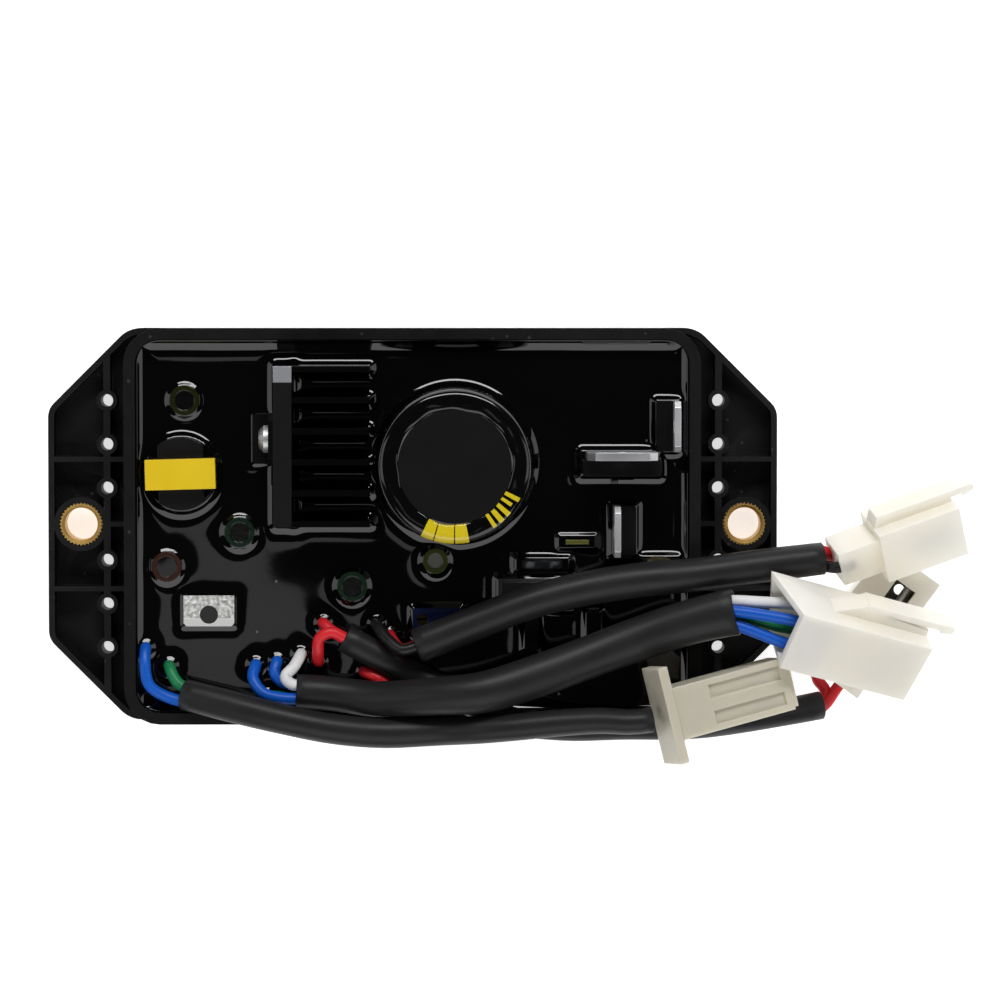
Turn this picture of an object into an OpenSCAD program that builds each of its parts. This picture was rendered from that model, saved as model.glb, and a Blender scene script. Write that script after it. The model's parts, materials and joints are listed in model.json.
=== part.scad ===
// Potted automatic voltage regulator in a tray with two ribbed mounting ears.
// Millimetres. Origin at the middle of the flat back, +Z out of the open side of the tray.

/* [Tray] */
// Length of the tray without its ears
tray_l = 113.4; // [112:0.2:115]
// Width of the tray
tray_w = 78; // [77:0.5:80]
// Height of the rim above the back
tray_h = 18; // [17.5:0.1:18.2]
// Thickness of the side walls
wall_t = 2.2; // [1.8:0.1:2.4]
// Thickness of the tray floor
floor_t = 2.5; // [2:0.1:3]
// Outer corner radius of the tray
tray_corner_r = 7; // [5:0.5:9]

/* [Mounting ears] */
// Length over both ears
ear_span = 145; // [143:0.5:148]
// Length of the straight end of an ear
ear_end_w = 45.8; // [44:0.2:48]
// Height of the ear's rim, ribs and bosses
ear_h = 7; // [6:0.1:8]
// Thickness of the ear's floor
ear_floor_t = 2.2; // [1.6:0.1:3]
// Thickness of the ear's rim
ear_rim_t = 1.2; // [1:0.1:1.8]
// Distance between the two fixing holes
fixing_spacing = 132; // [131:0.5:133]
// Diameter of the boss round each bush
boss_d = 10.8; // [10:0.1:11.2]
// Outside diameter of the knurled bush
bush_d = 8.6; // [8:0.1:9]
// Hole through the bush
bush_hole_d = 6.5; // [5.5:0.1:6.8]
// Number of knurl teeth
knurl_teeth = 36; // [24:2:44]
// Diameter of the small ear holes
ear_hole_d = 2.5; // [2:0.1:2.8]

/* [Board and resin] */
// Gap between the board and the walls
board_gap = 1.4; // [1:0.1:2]
// Thickness of the circuit board
board_t = 1.6; // [1.4:0.1:1.8]
// Height of the posts under the board, above the back
board_z = 4.5; // [4:0.1:5]
// Height of the resin's surface above the back
resin_z = 14.5; // [14.2:0.1:14.8]

/* [Large capacitor] */
// Diameter over the sleeve
cap_d = 30; // [29:0.2:30.4]
// Height above the board
cap_h = 29.9; // [26:0.1:32]
// Width of the sleeve's lip on the top
cap_lip_w = 4; // [3:0.2:5]
// Thickness of the sleeve
cap_sleeve_t = 0.5; // [0.4:0.05:0.7]

/* [Heat sink] */
// Height above the board
sink_h = 24; // [22:0.5:26]
// Thickness of the plate
sink_plate_t = 3.6; // [3.2:0.1:4]
// Length of the fins from the plate
sink_fin_l = 15; // [13:0.5:16]
// Thickness of a fin
sink_fin_t = 1.1; // [0.9:0.1:1.4]
// Number of fins
sink_fins = 6; // [4:1:7]

/* [Power devices] */
// Width of the common power package
pack_w = 10; // [9.6:0.1:10.2]
// Thickness of the common power package
pack_t = 4.5; // [4.3:0.1:4.7]
// Thickness of the metal tab
pack_tab_t = 1.3; // [1.2:0.05:1.4]
// Hole in the metal tab
pack_hole_d = 3.6; // [3.4:0.1:3.8]
// Length of the legs of a standing package
pack_leg = 3.5; // [3:0.1:4]

/* [Transformer] */
// Length of the core
core_l = 13.3; // [13:0.1:14]
// Width of the core
core_w = 5.5; // [5:0.1:5.8]
// Height of the core above the board
core_h = 14; // [13:0.5:15]

/* [Leads] */
// Outside diameter of a wire
wire_d = 2.3; // [1.8:0.1:2.3]
// Outside diameter of the sleeve to the flanged socket
flange_sleeve_d = 5.8; // [5.2:0.1:6]
// Outside diameter of the sleeve to the four-way plug, at the board end
four_sleeve_d = 7; // [6.6:0.1:7.2]
// Outside diameter of the sleeve to the two-way plug
two_sleeve_d = 7; // [6.6:0.1:7.1]
// Outside diameter of the sleeve to the two-way socket
socket_sleeve_d = 5.4; // [5.3:0.1:5.5]

/* [Connectors] */
// Length of the two-way plug
two_l = 25.5; // [24:0.5:28]
// Length of the four-way plug
four_l = 28.6; // [27:0.2:29.4]
// Side of the four-way plug's square section
four_w = 13; // [12.6:0.1:13.4]
// Length of the two-way socket
socket_l = 28; // [26:0.5:28]
// Length of the flanged socket
flanged_l = 27; // [26:0.5:28]
// Length of the flange across the socket
flange_w = 19.2; // [18:0.1:19.4]
// Diameter of the contact pins
pin_d = 2.1; // [1.8:0.1:2.3]

/* [Hidden] */
$fn = 48;

// Tray
tray_inner_r = tray_corner_r - wall_t;
cavity_l = tray_l - 2 * wall_t;
cavity_w = tray_w - 2 * wall_t;
half_l = tray_l / 2;
half_w = tray_w / 2;
ear_chamfer = (tray_w - ear_end_w) / 2;
ear_corner_r = 4;
ear_shoulder_r = 6;
rib_t = 1.4;
rib_x = 60.8;
cross_rib_t = 1;
cross_rib_y = 12.9;
ear_hole_ys = [-24.6, -15.9, -7.2, 7.2, 15.9, 24.6];
ear_hole_boss_d = 4.2;
bush_mouth = 0.5;
knurl_depth = 0.35;
post_d = 6;

// Board and resin
board_top = board_z + board_t;
board_l = cavity_l - 2 * board_gap;
board_w = cavity_w - 2 * board_gap;
post_inset = 5;
post_x = board_l / 2 - post_inset;
post_y = board_w / 2 - post_inset;

// Large capacitor
cap_at = [8.3, 12.5];
cap_top = board_top + cap_h;
cap_edge_r = 1.4;
cap_disc_t = 0.3;

// Heat sink
sink_x = -26.9;
sink_y0 = 0.5;
sink_y1 = 31.7;
sink_screw_y = 17.3;
sink_screw_d = 3;
sink_head_d = 5.4;
sink_head_h = 1.9;
sink_screw_l = 4.4;
screw_cross_w = 0.8;
screw_cross_l = 3.2;

// Power packages
pack_body_h = 9.2;
pack_h = 15.4;
pack_hole_drop = 2.8;
pack_leg_w = 0.9;
pack_leg_t = 0.5;
pack_leg_pitch = 2.54;
pack_leg_back = 2.6;
pack_nick = 1.2;
clamped_leg = 0.6;
sink_screw_z = board_top + clamped_leg + pack_h - pack_hole_drop;
big_w = 13.8;
big_body_w = 15.6;
big_body_h = 14.8;
big_t = 4.8;
big_tab_t = 1.6;
big_h = 19;
big_hole_d = 3.4;
flat_tab_x = 16.5 - half_l;
flat_tab_y0 = -19.8;
flat_tab_l = 6.1;
flat_tab_z = 13.9;
flat_body_l = 9.2;
side_at = [half_l - 4.2, half_w - 19.2];
power_at = [half_l - 15.7, half_w - 24.1];
centre_at = [39.5, -0.8];

// Transformer
trans_at = [11.2 - half_l, 10.4];
trans_turn = 1.5;
bobbin_r = 7.4;
bobbin_base_t = 1.9;
core_bar_t = 2.3;
core_leg_t = 2.2;
core_middle_w = 4.4;
bobbin_flange_t = 0.8;
winding_r = 6.8;
winding_gap = 0.1;
tape_t = 0.25;

// Small parts: place, diameter, top height and lip width of the small capacitors
small_caps = [
    [[11.8 - half_l, 24.8], 6, 15.6],
    [[-34.1, -1.2], 6, 15.8],
    [[8.2 - half_l, -8], 6, 15.4],
    [[-11.9, -11.9], 6, 15.8],
    [[4.5, -6.9], 5, 16]
];
small_cap_lip = 1;
small_cap_dish = 0.25;
trimmer_at = [0, -21];
trimmer_l = 9.5;
trimmer_w = 4.8;
trimmer_h = 10;
trimmer_screw_d = 2.2;
trimmer_screw_h = 1.6;
trimmer_screw_x = 1.9;
trimmer_screw_y = 2.6;
trimmer_slot_w = 0.5;
trimmer_foot_h = 0.4;
disc_lead_d = 0.7;
varistor_at = [25.6, -7.6, 12.3];
varistor_d = 10.5;
varistor_t = 2.6;
varistor_pitch = 5;
ceramic_at = [half_l - 8.1, -6.9, 12.4];
ceramic_d = 8;
ceramic_t = 1.9;
ceramic_pitch = 4;
disc_edge = 0.6;
axial_at = [30.2, -3.2, 14.2];
axial_d = 2.4;
axial_l = 4.6;
axial_lead_out = 1;
film_at = [16.9, -16];
film_l = 14.6;
film_w = 5.6;
film_top = 17;
film_lid = 0.5;
driver_xs = [22.1, 34.3];
driver_y = -24.6;
driver_t = 2.6;
driver_w = 7.8;
driver_h = 10.6;
driver_leg = 0.6;
driver_hole_d = 3.2;
driver_hole_drop = 3.6;

// Lead routes: centre line points of each sleeve
flange_route = [
    [-44.8, -33, 18.4], [-36, -35, 21], [-26, -37.3, 23], [-16, -39.3, 23.2], [-6, -40.3, 22.4],
    [4, -40, 22.2], [14, -39.3, 25.6], [20, -38.7, 27.2], [28, -37.8, 28.2], [37, -37.2, 29.4]
];
four_route = [
    [-22.8, -32.4, 18.3], [-14.4, -33, 18.6], [-8, -33.7, 20.4], [-2, -33.4, 22.8],
    [5, -32.7, 25.4], [13.3, -31.9, 27.4], [23.2, -29.2, 25.9], [33.6, -25.6, 24.2],
    [45.1, -21.4, 23.8], [54, -18.4, 25], [62, -15.8, 26.6]
];
two_route = [
    [1, -23.2, 21.2], [5.6, -21.4, 21.4], [13.3, -18.3, 21.6], [23.2, -14.6, 21.8],
    [33.6, -12, 21.9], [45.1, -10.2, 21.9], [54, -9.4, 21.9], [66, -7.9, 21], [79.4, -6.3, 19.5]
];
socket_route = [
    [-13.4, -21.9, 18], [-3.5, -27.2, 17.4], [6, -32, 17.6], [13, -35.3, 20.5], [19, -37.8, 21.1],
    [29, -39.2, 21], [42, -39.1, 20.9], [53, -39, 21], [57, -38.9, 19.4], [62, -38.7, 15.8],
    [72, -37.6, 11], [80, -35.8, 8]
];
four_spread = [0, 0, 0.1, 0.2, 0.3, 0.5, 0.6, 0.7, 0.7, 0.7, 0.7];
wire_sides = 8;
sleeve_sides = 12;
tail_run = 3;
short_run = 1;
plug_run = 4;
jumper_rise = 1.2;

// Connector places: rear centre, yaw, pitch (front down) and roll
two_place = [[83, -6.8, 19.2], 19, 8, 28];
four_place = [[72.2, -18, 27.4], -16, 19, 28];
socket_place = [[83, -30.8, 5.1], 54, 0, 0];
flanged_place = [[48.4, -36.4, 29.6], 13.5, 18, 0];
two_rear_w = 7.2;
two_rear_h = 8;
two_rear_l = 8.5;
two_w = 10.8;
two_h = 11;
two_pitch = 4.8;
contact_hole = 3.4;
contact_depth = 10;
contact_tube_d = 2.9;
contact_tube_l = 8;
wire_entry = wire_d + 0.4;
wire_depth = 3;
latch_w = 4.6;
latch_t = 1.4;
two_latch_gap = 1;
four_latch_gap = 2;
latch_over = 4.5;
four_skirt = 8;
four_skirt_t = 1.2;
four_skirt_slant = 14;
four_skirt_turn = 12;
four_skirt_over = 1.5;
four_pitch = 5.6;
four_rib_t = 0.8;
four_rib_inset = 1.5;
socket_w = 13.4;
socket_h = 9.8;
socket_hood = 9;
socket_wall = 1.5;
socket_pitch = 5.4;
window_l = 5.5;
window_w = 4.6;
window_back = 4.2;
flange_t = 2;
flange_h = 9.4;
flanged_w = 10.4;
flanged_h = 8.6;
flanged_hood = 9;
flanged_wall = 1.2;
flanged_pitch = 4.8;
flanged_groove_w = 2.6;
flanged_groove_d = 0.7;
flanged_groove_x = 9.5;
flanged_bevel = 0.9;
pin_l = 7;
arc_steps = 6;

// Points of one rounded corner: a and b are its neighbours
function unit(v) = v / norm(v);
function swing(a) = a > 180 ? a - 360 : a < -180 ? a + 360 : a;
function corner(a, p, b, r) =
    let (u = unit(a - p), v = unit(b - p), half = acos(u * v) / 2)
    let (c = p + unit(u + v) * r / sin(half), t = r / tan(half))
    let (s = p + u * t - c, e = p + v * t - c)
    let (a0 = atan2(s.y, s.x), turn = swing(atan2(e.y, e.x) - a0))
    [for (k = [0:arc_steps]) c + r * [cos(a0 + turn * k / arc_steps), sin(a0 + turn * k / arc_steps)]];
// Outline with every corner rounded by its own radius
function rounded(p, r) =
    let (n = len(p))
    [for (i = [0:n - 1]) each corner(p[(i + n - 1) % n], p[i], p[(i + 1) % n], r[i])];
function box_points(l, w) = [[-l / 2, -w / 2], [l / 2, -w / 2], [l / 2, w / 2], [-l / 2, w / 2]];
// Eight-sided outline over both ears, drawn in by inset
function ear_points(inset) =
    let (x = ear_span / 2 - inset, y = tray_w / 2 - inset)
    let (c = ear_chamfer - inset * (2 - sqrt(2)))
    [[-x + c, -y], [x - c, -y], [x, -y + c], [x, y - c],
     [x - c, y], [-x + c, y], [-x, y - c], [-x, -y + c]];
function ear_radii(inset) =
    let (s = ear_shoulder_r, e = ear_corner_r - inset)
    [s, s, e, e, s, s, e, e];

// Swept tube: rings across the mean direction at each point, first and last ring square to the ends
function heading(p, i) = unit(p[min(i + 1, len(p) - 1)] - p[max(i - 1, 0)]);
function square_to(t) = unit(cross(abs(t.z) > 0.9 ? [0, 1, 0] : [0, 0, 1], t));
function carried(p, i) =
    i == 0 ? square_to(heading(p, 0))
    : let (n = carried(p, i - 1), t = heading(p, i)) unit(n - t * (n * t));
function ring(p, i, r, sides) =
    let (n = carried(p, i), m = cross(heading(p, i), n))
    [for (k = [0:sides - 1]) p[i] + r * (n * cos(360 * k / sides) + m * sin(360 * k / sides))];
module tube(p, radii, sides) {
    last = len(p) - 1;
    points = [for (i = [0:last]) each ring(p, i, radii[i], sides)];
    walls = [
        for (i = [0:last - 1], k = [0:sides - 1])
            let (a = i * sides + k, b = i * sides + (k + 1) % sides)
            each [[a, b + sides, b], [a, a + sides, b + sides]]
    ];
    first_cap = [for (k = [1:sides - 2]) [0, k, k + 1]];
    last_cap = [for (k = [1:sides - 2]) [0, k + 1, k] + last * sides * [1, 1, 1]];
    polyhedron(points, concat(walls, first_cap, last_cap));
}
module round_tube(p, d, sides) {
    tube(p, [for (q = p) d / 2], sides);
}

// Connector placing, as a transform and as a function of a point
module placed(place) {
    translate(place[0])
        rotate([0, 0, place[1]])
            rotate([0, place[2], 0])
                rotate([place[3], 0, 0])
                    children();
}
function rolled(p, a) = [p.x, p.y * cos(a) - p.z * sin(a), p.y * sin(a) + p.z * cos(a)];
function pitched(p, a) = [p.x * cos(a) + p.z * sin(a), p.y, p.z * cos(a) - p.x * sin(a)];
function turned(p, a) = [p.x * cos(a) - p.y * sin(a), p.x * sin(a) + p.y * cos(a), p.z];
function seat(place, p) = place[0] + turned(pitched(rolled(p, place[3]), place[2]), place[1]);

// Wire ends that stand square on a sleeve's first or last ring
function start_end(route, side, up, run) =
    let (t = unit(route[1] - route[0]), n = square_to(t), m = cross(t, n))
    let (e = route[0] + n * side + m * up)
    [e - t * run, e];
function finish_end(route, side, up, run) =
    let (k = len(route) - 1, t = unit(route[k] - route[k - 1]), n = square_to(t), m = cross(t, n))
    let (e = route[k] + n * side + m * up)
    [e, e + t * run];
function plug_end(place, p) = [seat(place, p - [plug_run, 0, 0]), seat(place, p)];
// A wire leaves the resin upright
function resin_end(x, y, rise) = [[x, y, resin_z], [x, y, resin_z + rise]];

// Moulded tray: walls and floor, then the ears with their rims, ribs and bosses
module tray_outline() {
    polygon(rounded(box_points(tray_l, tray_w), [for (i = [0:3]) tray_corner_r]));
}
module cavity_outline() {
    polygon(rounded(box_points(cavity_l, cavity_w), [for (i = [0:3]) tray_inner_r]));
}
module ear_outline(inset) {
    polygon(rounded(ear_points(inset), ear_radii(inset)));
}
module ear_ribs() {
    for (s = [-1, 1]) {
        translate([s * rib_x - rib_t / 2, -tray_w / 2])
            square([rib_t, tray_w]);
        for (y = [-cross_rib_y, cross_rib_y])
            translate([s > 0 ? tray_l / 2 - wall_t : -ear_span / 2, y - cross_rib_t / 2])
                square([(ear_span - tray_l) / 2 + wall_t, cross_rib_t]);
        translate([s > 0 ? tray_l / 2 - wall_t : -rib_x, -cross_rib_t / 2])
            square([rib_x - tray_l / 2 + wall_t, cross_rib_t]);
    }
}
module ear_bosses() {
    for (s = [-1, 1]) {
        translate([s * fixing_spacing / 2, 0])
            circle(d = boss_d);
        for (y = ear_hole_ys)
            translate([s * rib_x, y])
                circle(d = ear_hole_boss_d);
    }
}
module case() {
    color([0.12, 0.12, 0.13])
    difference() {
        union() {
            linear_extrude(tray_h)
                tray_outline();
            linear_extrude(ear_floor_t)
                ear_outline(0);
            linear_extrude(ear_h)
                difference() {
                    ear_outline(0);
                    ear_outline(ear_rim_t);
                }
            linear_extrude(ear_h)
                intersection() {
                    ear_outline(ear_rim_t / 2);
                    union() {
                        ear_ribs();
                        ear_bosses();
                    }
                }
        }
        difference() {
            translate([0, 0, floor_t])
                linear_extrude(tray_h)
                    cavity_outline();
            for (x = [-post_x, post_x], y = [-post_y, post_y])
                translate([x, y, 0])
                    cylinder(d = post_d, h = board_z);
        }
        for (s = [-1, 1]) {
            translate([s * fixing_spacing / 2, 0, -1])
                cylinder(d = bush_d, h = ear_h + 2);
            for (y = ear_hole_ys)
                translate([s * rib_x, y, -1])
                    cylinder(d = ear_hole_d, h = ear_h + 2);
        }
    }
}

// Knurled brass bush, chamfered at both mouths
module bush() {
    color([0.72, 0.6, 0.3])
    difference() {
        linear_extrude(ear_h)
            polygon([
                for (k = [0:2 * knurl_teeth - 1])
                    (bush_d / 2 - (k % 2) * knurl_depth)
                        * [cos(180 * k / knurl_teeth), sin(180 * k / knurl_teeth)]
            ]);
        translate([0, 0, -1])
            cylinder(d = bush_hole_d, h = ear_h + 2);
        translate([0, 0, ear_h - bush_mouth])
            cylinder(d1 = bush_hole_d, d2 = bush_hole_d + 4 * bush_mouth, h = 2 * bush_mouth);
        translate([0, 0, -bush_mouth])
            cylinder(d1 = bush_hole_d + 4 * bush_mouth, d2 = bush_hole_d, h = 2 * bush_mouth);
    }
}
module bush_left() {
    translate([-fixing_spacing / 2, 0, 0])
        bush();
}
module bush_right() {
    translate([fixing_spacing / 2, 0, 0])
        bush();
}

module circuit_board() {
    color([0.1, 0.3, 0.16])
    translate([-board_l / 2, -board_w / 2, board_z])
        cube([board_l, board_w, board_t]);
}

// Cast resin: everything in the cavity below its surface that is not another piece
module potting_resin() {
    color([0.03, 0.03, 0.035])
    difference() {
        translate([0, 0, floor_t])
            linear_extrude(resin_z - floor_t)
                cavity_outline();
        for (x = [-post_x, post_x], y = [-post_y, post_y])
            translate([x, y, 0])
                cylinder(d = post_d, h = board_z);
        circuit_board();
        translate([cap_at.x, cap_at.y, board_top])
            cylinder(d = cap_d, h = cap_h);
        heat_sink();
        clamped_transistor_body();
        clamped_transistor_frame();
        transformer_bobbin();
        transformer_winding();
        transformer_core();
        for (c = small_caps)
            translate([c[0].x, c[0].y, board_top])
                cylinder(d = c[1], h = c[2]);
        flat_transistor_body();
        flat_transistor_frame();
        trimmer_body();
        side_transistor_body();
        side_transistor_frame();
        power_transistor_body();
        power_transistor_frame();
        centre_transistor_body();
        centre_transistor_frame();
        driver_transistor_1();
        driver_transistor_2();
        varistor();
        disc_capacitor();
        film_capacitor();
        axial_resistor();
    }
}

// Large capacitor: can with a rolled shoulder, shrunk sleeve with a lip, disc inside the lip
module shoulder_profile(r, top, edge) {
    polygon(concat(
        [[0, board_top], [r, board_top]],
        [for (k = [0:arc_steps]) [r - edge + edge * cos(90 * k / arc_steps),
            top - edge + edge * sin(90 * k / arc_steps)]],
        [[0, top]]));
}
module capacitor_can() {
    color([0.7, 0.7, 0.72])
    translate([cap_at.x, cap_at.y, 0])
        rotate_extrude($fn = 96)
            shoulder_profile(cap_d / 2 - cap_sleeve_t, cap_top - cap_sleeve_t, cap_edge_r - cap_sleeve_t);
}
module capacitor_sleeve() {
    color([0.1, 0.1, 0.11])
    translate([cap_at.x, cap_at.y, 0])
        difference() {
            rotate_extrude($fn = 96)
                shoulder_profile(cap_d / 2, cap_top, cap_edge_r);
            rotate_extrude($fn = 96)
                shoulder_profile(cap_d / 2 - cap_sleeve_t, cap_top - cap_sleeve_t,
                                 cap_edge_r - cap_sleeve_t);
            translate([0, 0, board_top])
                cylinder(d = cap_d - 2 * cap_lip_w, h = 2 * cap_h, $fn = 96);
        }
}
module capacitor_disc() {
    color([0.17, 0.17, 0.18])
    translate([cap_at.x, cap_at.y, cap_top - cap_sleeve_t])
        cylinder(d = cap_d - 2 * cap_lip_w, h = cap_disc_t, $fn = 96);
}

// Heat sink: one extruded comb standing on the board
module heat_sink() {
    fin_step = (sink_y1 - sink_fin_t - sink_y0) / (sink_fins - 1);
    color([0.2, 0.2, 0.21])
    difference() {
        translate([0, 0, board_top])
            linear_extrude(sink_h)
                union() {
                    translate([sink_x, sink_y0])
                        square([sink_plate_t, sink_y1 - sink_y0]);
                    for (k = [0:sink_fins - 1])
                        translate([sink_x, sink_y0 + k * fin_step])
                            square([sink_plate_t + sink_fin_l, sink_fin_t]);
                }
        translate([sink_x - 1, sink_screw_y, sink_screw_z])
            rotate([0, 90, 0])
                cylinder(d = sink_screw_d, h = sink_plate_t + 2);
    }
}
module heat_sink_screw() {
    head_x = sink_x - pack_tab_t;
    color([0.75, 0.75, 0.77])
    translate([head_x, sink_screw_y, sink_screw_z])
        rotate([0, -90, 0])
            difference() {
                union() {
                    cylinder(d = sink_head_d, h = sink_head_h * 0.5);
                    translate([0, 0, sink_head_h * 0.5])
                        cylinder(d1 = sink_head_d, d2 = sink_head_d * 0.62, h = sink_head_h * 0.5);
                    translate([0, 0, -sink_screw_l])
                        cylinder(d = sink_screw_d, h = sink_screw_l);
                }
                translate([-screw_cross_l / 2, -screw_cross_w / 2, sink_head_h * 0.45])
                    cube([screw_cross_l, screw_cross_w, sink_head_h]);
                translate([-screw_cross_w / 2, -screw_cross_l / 2, sink_head_h * 0.45])
                    cube([screw_cross_w, screw_cross_l, sink_head_h]);
            }
}

// Power package, standing: back face on Y 0, legs on the board
module pack_body(leg) {
    translate([0, 0, board_top + leg])
        linear_extrude(pack_body_h)
            polygon([[-pack_w / 2, -pack_tab_t], [-pack_w / 2, -pack_t + 0.4], [-pack_w / 2 + 0.4, -pack_t],
                [pack_w / 2 - 0.4, -pack_t], [pack_w / 2, -pack_t + 0.4], [pack_w / 2, -pack_tab_t]]);
}
module pack_frame(leg) {
    translate([0, 0, board_top + leg])
        difference() {
            rotate([90, 0, 0])
                linear_extrude(pack_tab_t)
                    polygon([[-pack_w / 2, 0], [pack_w / 2, 0], [pack_w / 2, pack_h - pack_nick],
                        [pack_w / 2 - pack_nick, pack_h], [-pack_w / 2 + pack_nick, pack_h],
                        [-pack_w / 2, pack_h - pack_nick]]);
            translate([0, 1, pack_h - pack_hole_drop])
                rotate([90, 0, 0])
                    cylinder(d = pack_hole_d, h = pack_t);
        }
    for (k = [-1:1])
        translate([k * pack_leg_pitch - pack_leg_w / 2, -pack_leg_back, board_top])
            cube([pack_leg_w, pack_leg_t, leg]);
}
module at_clamped() {
    translate([sink_x, sink_screw_y, 0])
        rotate([0, 0, -90])
            children();
}
module clamped_transistor_body() {
    color([0.1, 0.1, 0.1])
    at_clamped()
        pack_body(clamped_leg);
}
module clamped_transistor_frame() {
    color([0.75, 0.74, 0.72])
    at_clamped()
        pack_frame(clamped_leg);
}
module side_transistor_body() {
    color([0.1, 0.1, 0.1])
    translate([side_at.x, side_at.y, 0])
        rotate([0, 0, -90])
            pack_body(pack_leg);
}
module side_transistor_frame() {
    color([0.75, 0.74, 0.72])
    translate([side_at.x, side_at.y, 0])
        rotate([0, 0, -90])
            pack_frame(pack_leg);
}
module centre_transistor_body() {
    color([0.1, 0.1, 0.1])
    translate([centre_at.x, centre_at.y, 0])
        rotate([0, 0, 90])
            pack_body(pack_leg);
}
module centre_transistor_frame() {
    color([0.75, 0.74, 0.72])
    translate([centre_at.x, centre_at.y, 0])
        rotate([0, 0, 90])
            pack_frame(pack_leg);
}
module power_transistor_body() {
    color([0.1, 0.1, 0.1])
    translate([power_at.x, power_at.y, board_top + pack_leg])
        linear_extrude(big_body_h)
            polygon([[-big_body_w / 2, -big_tab_t], [-big_body_w / 2, -big_t + 0.5],
                [-big_body_w / 2 + 0.5, -big_t], [big_body_w / 2 - 0.5, -big_t],
                [big_body_w / 2, -big_t + 0.5], [big_body_w / 2, -big_tab_t]]);
}
module power_transistor_frame() {
    color([0.75, 0.74, 0.72])
    translate([power_at.x, power_at.y, 0]) {
        translate([0, 0, board_top + pack_leg])
            difference() {
                rotate([90, 0, 0])
                    linear_extrude(big_tab_t)
                        polygon([[-big_w / 2, 0], [big_w / 2, 0], [big_w / 2, big_h - 1.6],
                            [big_w / 2 - 1.6, big_h], [-big_w / 2 + 1.6, big_h], [-big_w / 2, big_h - 1.6]]);
                translate([0, 1, big_h - 2.6])
                    rotate([90, 0, 0])
                        cylinder(d = big_hole_d, h = big_t);
            }
        for (k = [-1:1])
            translate([k * 2 * pack_leg_pitch - pack_leg_w / 2, -pack_leg_back - 0.4, board_top])
                cube([pack_leg_w, pack_leg_t, pack_leg]);
    }
}

// Power package lying with its tab upwards at the resin's surface
module flat_transistor_body() {
    color([0.1, 0.1, 0.1])
    translate([flat_tab_x - pack_w / 2, flat_tab_y0 + flat_tab_l, flat_tab_z + pack_tab_t - pack_t])
        cube([pack_w, flat_body_l, pack_t - pack_tab_t]);
}
module flat_transistor_frame() {
    color([0.85, 0.8, 0.6])
    translate([flat_tab_x, flat_tab_y0, flat_tab_z])
        difference() {
            linear_extrude(pack_tab_t)
                polygon([[-pack_w / 2 + pack_nick / 2, 0], [pack_w / 2 - pack_nick / 2, 0],
                    [pack_w / 2, pack_nick / 2], [pack_w / 2, flat_tab_l + flat_body_l],
                    [-pack_w / 2, flat_tab_l + flat_body_l], [-pack_w / 2, pack_nick / 2]]);
            translate([0, pack_hole_drop - 0.5, -1])
                cylinder(d = pack_hole_d, h = pack_tab_t + 2);
            // The back of the package dips under the resin
            translate([-pack_w, flat_tab_l, resin_z - flat_tab_z - 0.2])
                cube([2 * pack_w, flat_body_l + 1, pack_tab_t]);
        }
    for (k = [-1:1])
        translate([flat_tab_x + k * pack_leg_pitch - pack_leg_w / 2,
            flat_tab_y0 + flat_tab_l + flat_body_l, board_top])
            cube([pack_leg_w, pack_leg_t, flat_tab_z - board_top - 1]);
}

// Transformer: bobbin base, two-part core bridging the winding, tape over the top of the core
module at_transformer() {
    translate([trans_at.x, trans_at.y, board_top])
        rotate([0, 0, trans_turn])
            children();
}
module core_window() {
    for (s = [-1, 1])
        translate([s > 0 ? core_middle_w / 2 : -core_l / 2 + core_leg_t, -core_w,
                   bobbin_base_t + core_bar_t])
            cube([core_l / 2 - core_leg_t - core_middle_w / 2, 2 * core_w,
                core_h - bobbin_base_t - 2 * core_bar_t]);
}
module transformer_core() {
    color([0.16, 0.15, 0.15])
    at_transformer()
        difference() {
            translate([-core_l / 2, -core_w / 2, bobbin_base_t])
                cube([core_l, core_w, core_h - bobbin_base_t]);
            core_window();
        }
}
module bobbin_disc(z, t, r) {
    translate([0, 0, z])
        intersection() {
            cylinder(r = r, h = t);
            translate([-core_l / 2 + core_leg_t, -r, 0])
                cube([core_l - 2 * core_leg_t, 2 * r, t]);
        }
}
module middle_leg() {
    translate([-core_middle_w / 2, -core_w / 2, 0])
        cube([core_middle_w, core_w, core_h]);
}
module transformer_bobbin() {
    color([0.12, 0.12, 0.12])
    at_transformer() {
        cylinder(r = bobbin_r, h = bobbin_base_t);
        difference() {
            union() {
                bobbin_disc(bobbin_base_t + core_bar_t, bobbin_flange_t, winding_r + 0.4);
                bobbin_disc(core_h - core_bar_t - bobbin_flange_t, bobbin_flange_t, winding_r + 0.4);
            }
            middle_leg();
        }
    }
}
module transformer_winding() {
    low = bobbin_base_t + core_bar_t + bobbin_flange_t;
    color([0.42, 0.4, 0.12])
    at_transformer()
        difference() {
            bobbin_disc(low, core_h - core_bar_t - bobbin_flange_t - low, winding_r - winding_gap);
            middle_leg();
        }
}
module transformer_tape() {
    color([0.9, 0.78, 0.12])
    at_transformer()
        difference() {
            translate([-core_l / 2 - tape_t, -core_w / 2 - tape_t, core_h - core_bar_t])
                cube([core_l + 2 * tape_t, core_w + 2 * tape_t, core_bar_t + tape_t]);
            translate([-core_l / 2, -core_w / 2, 0])
                cube([core_l, core_w, core_h]);
        }
}

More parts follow.
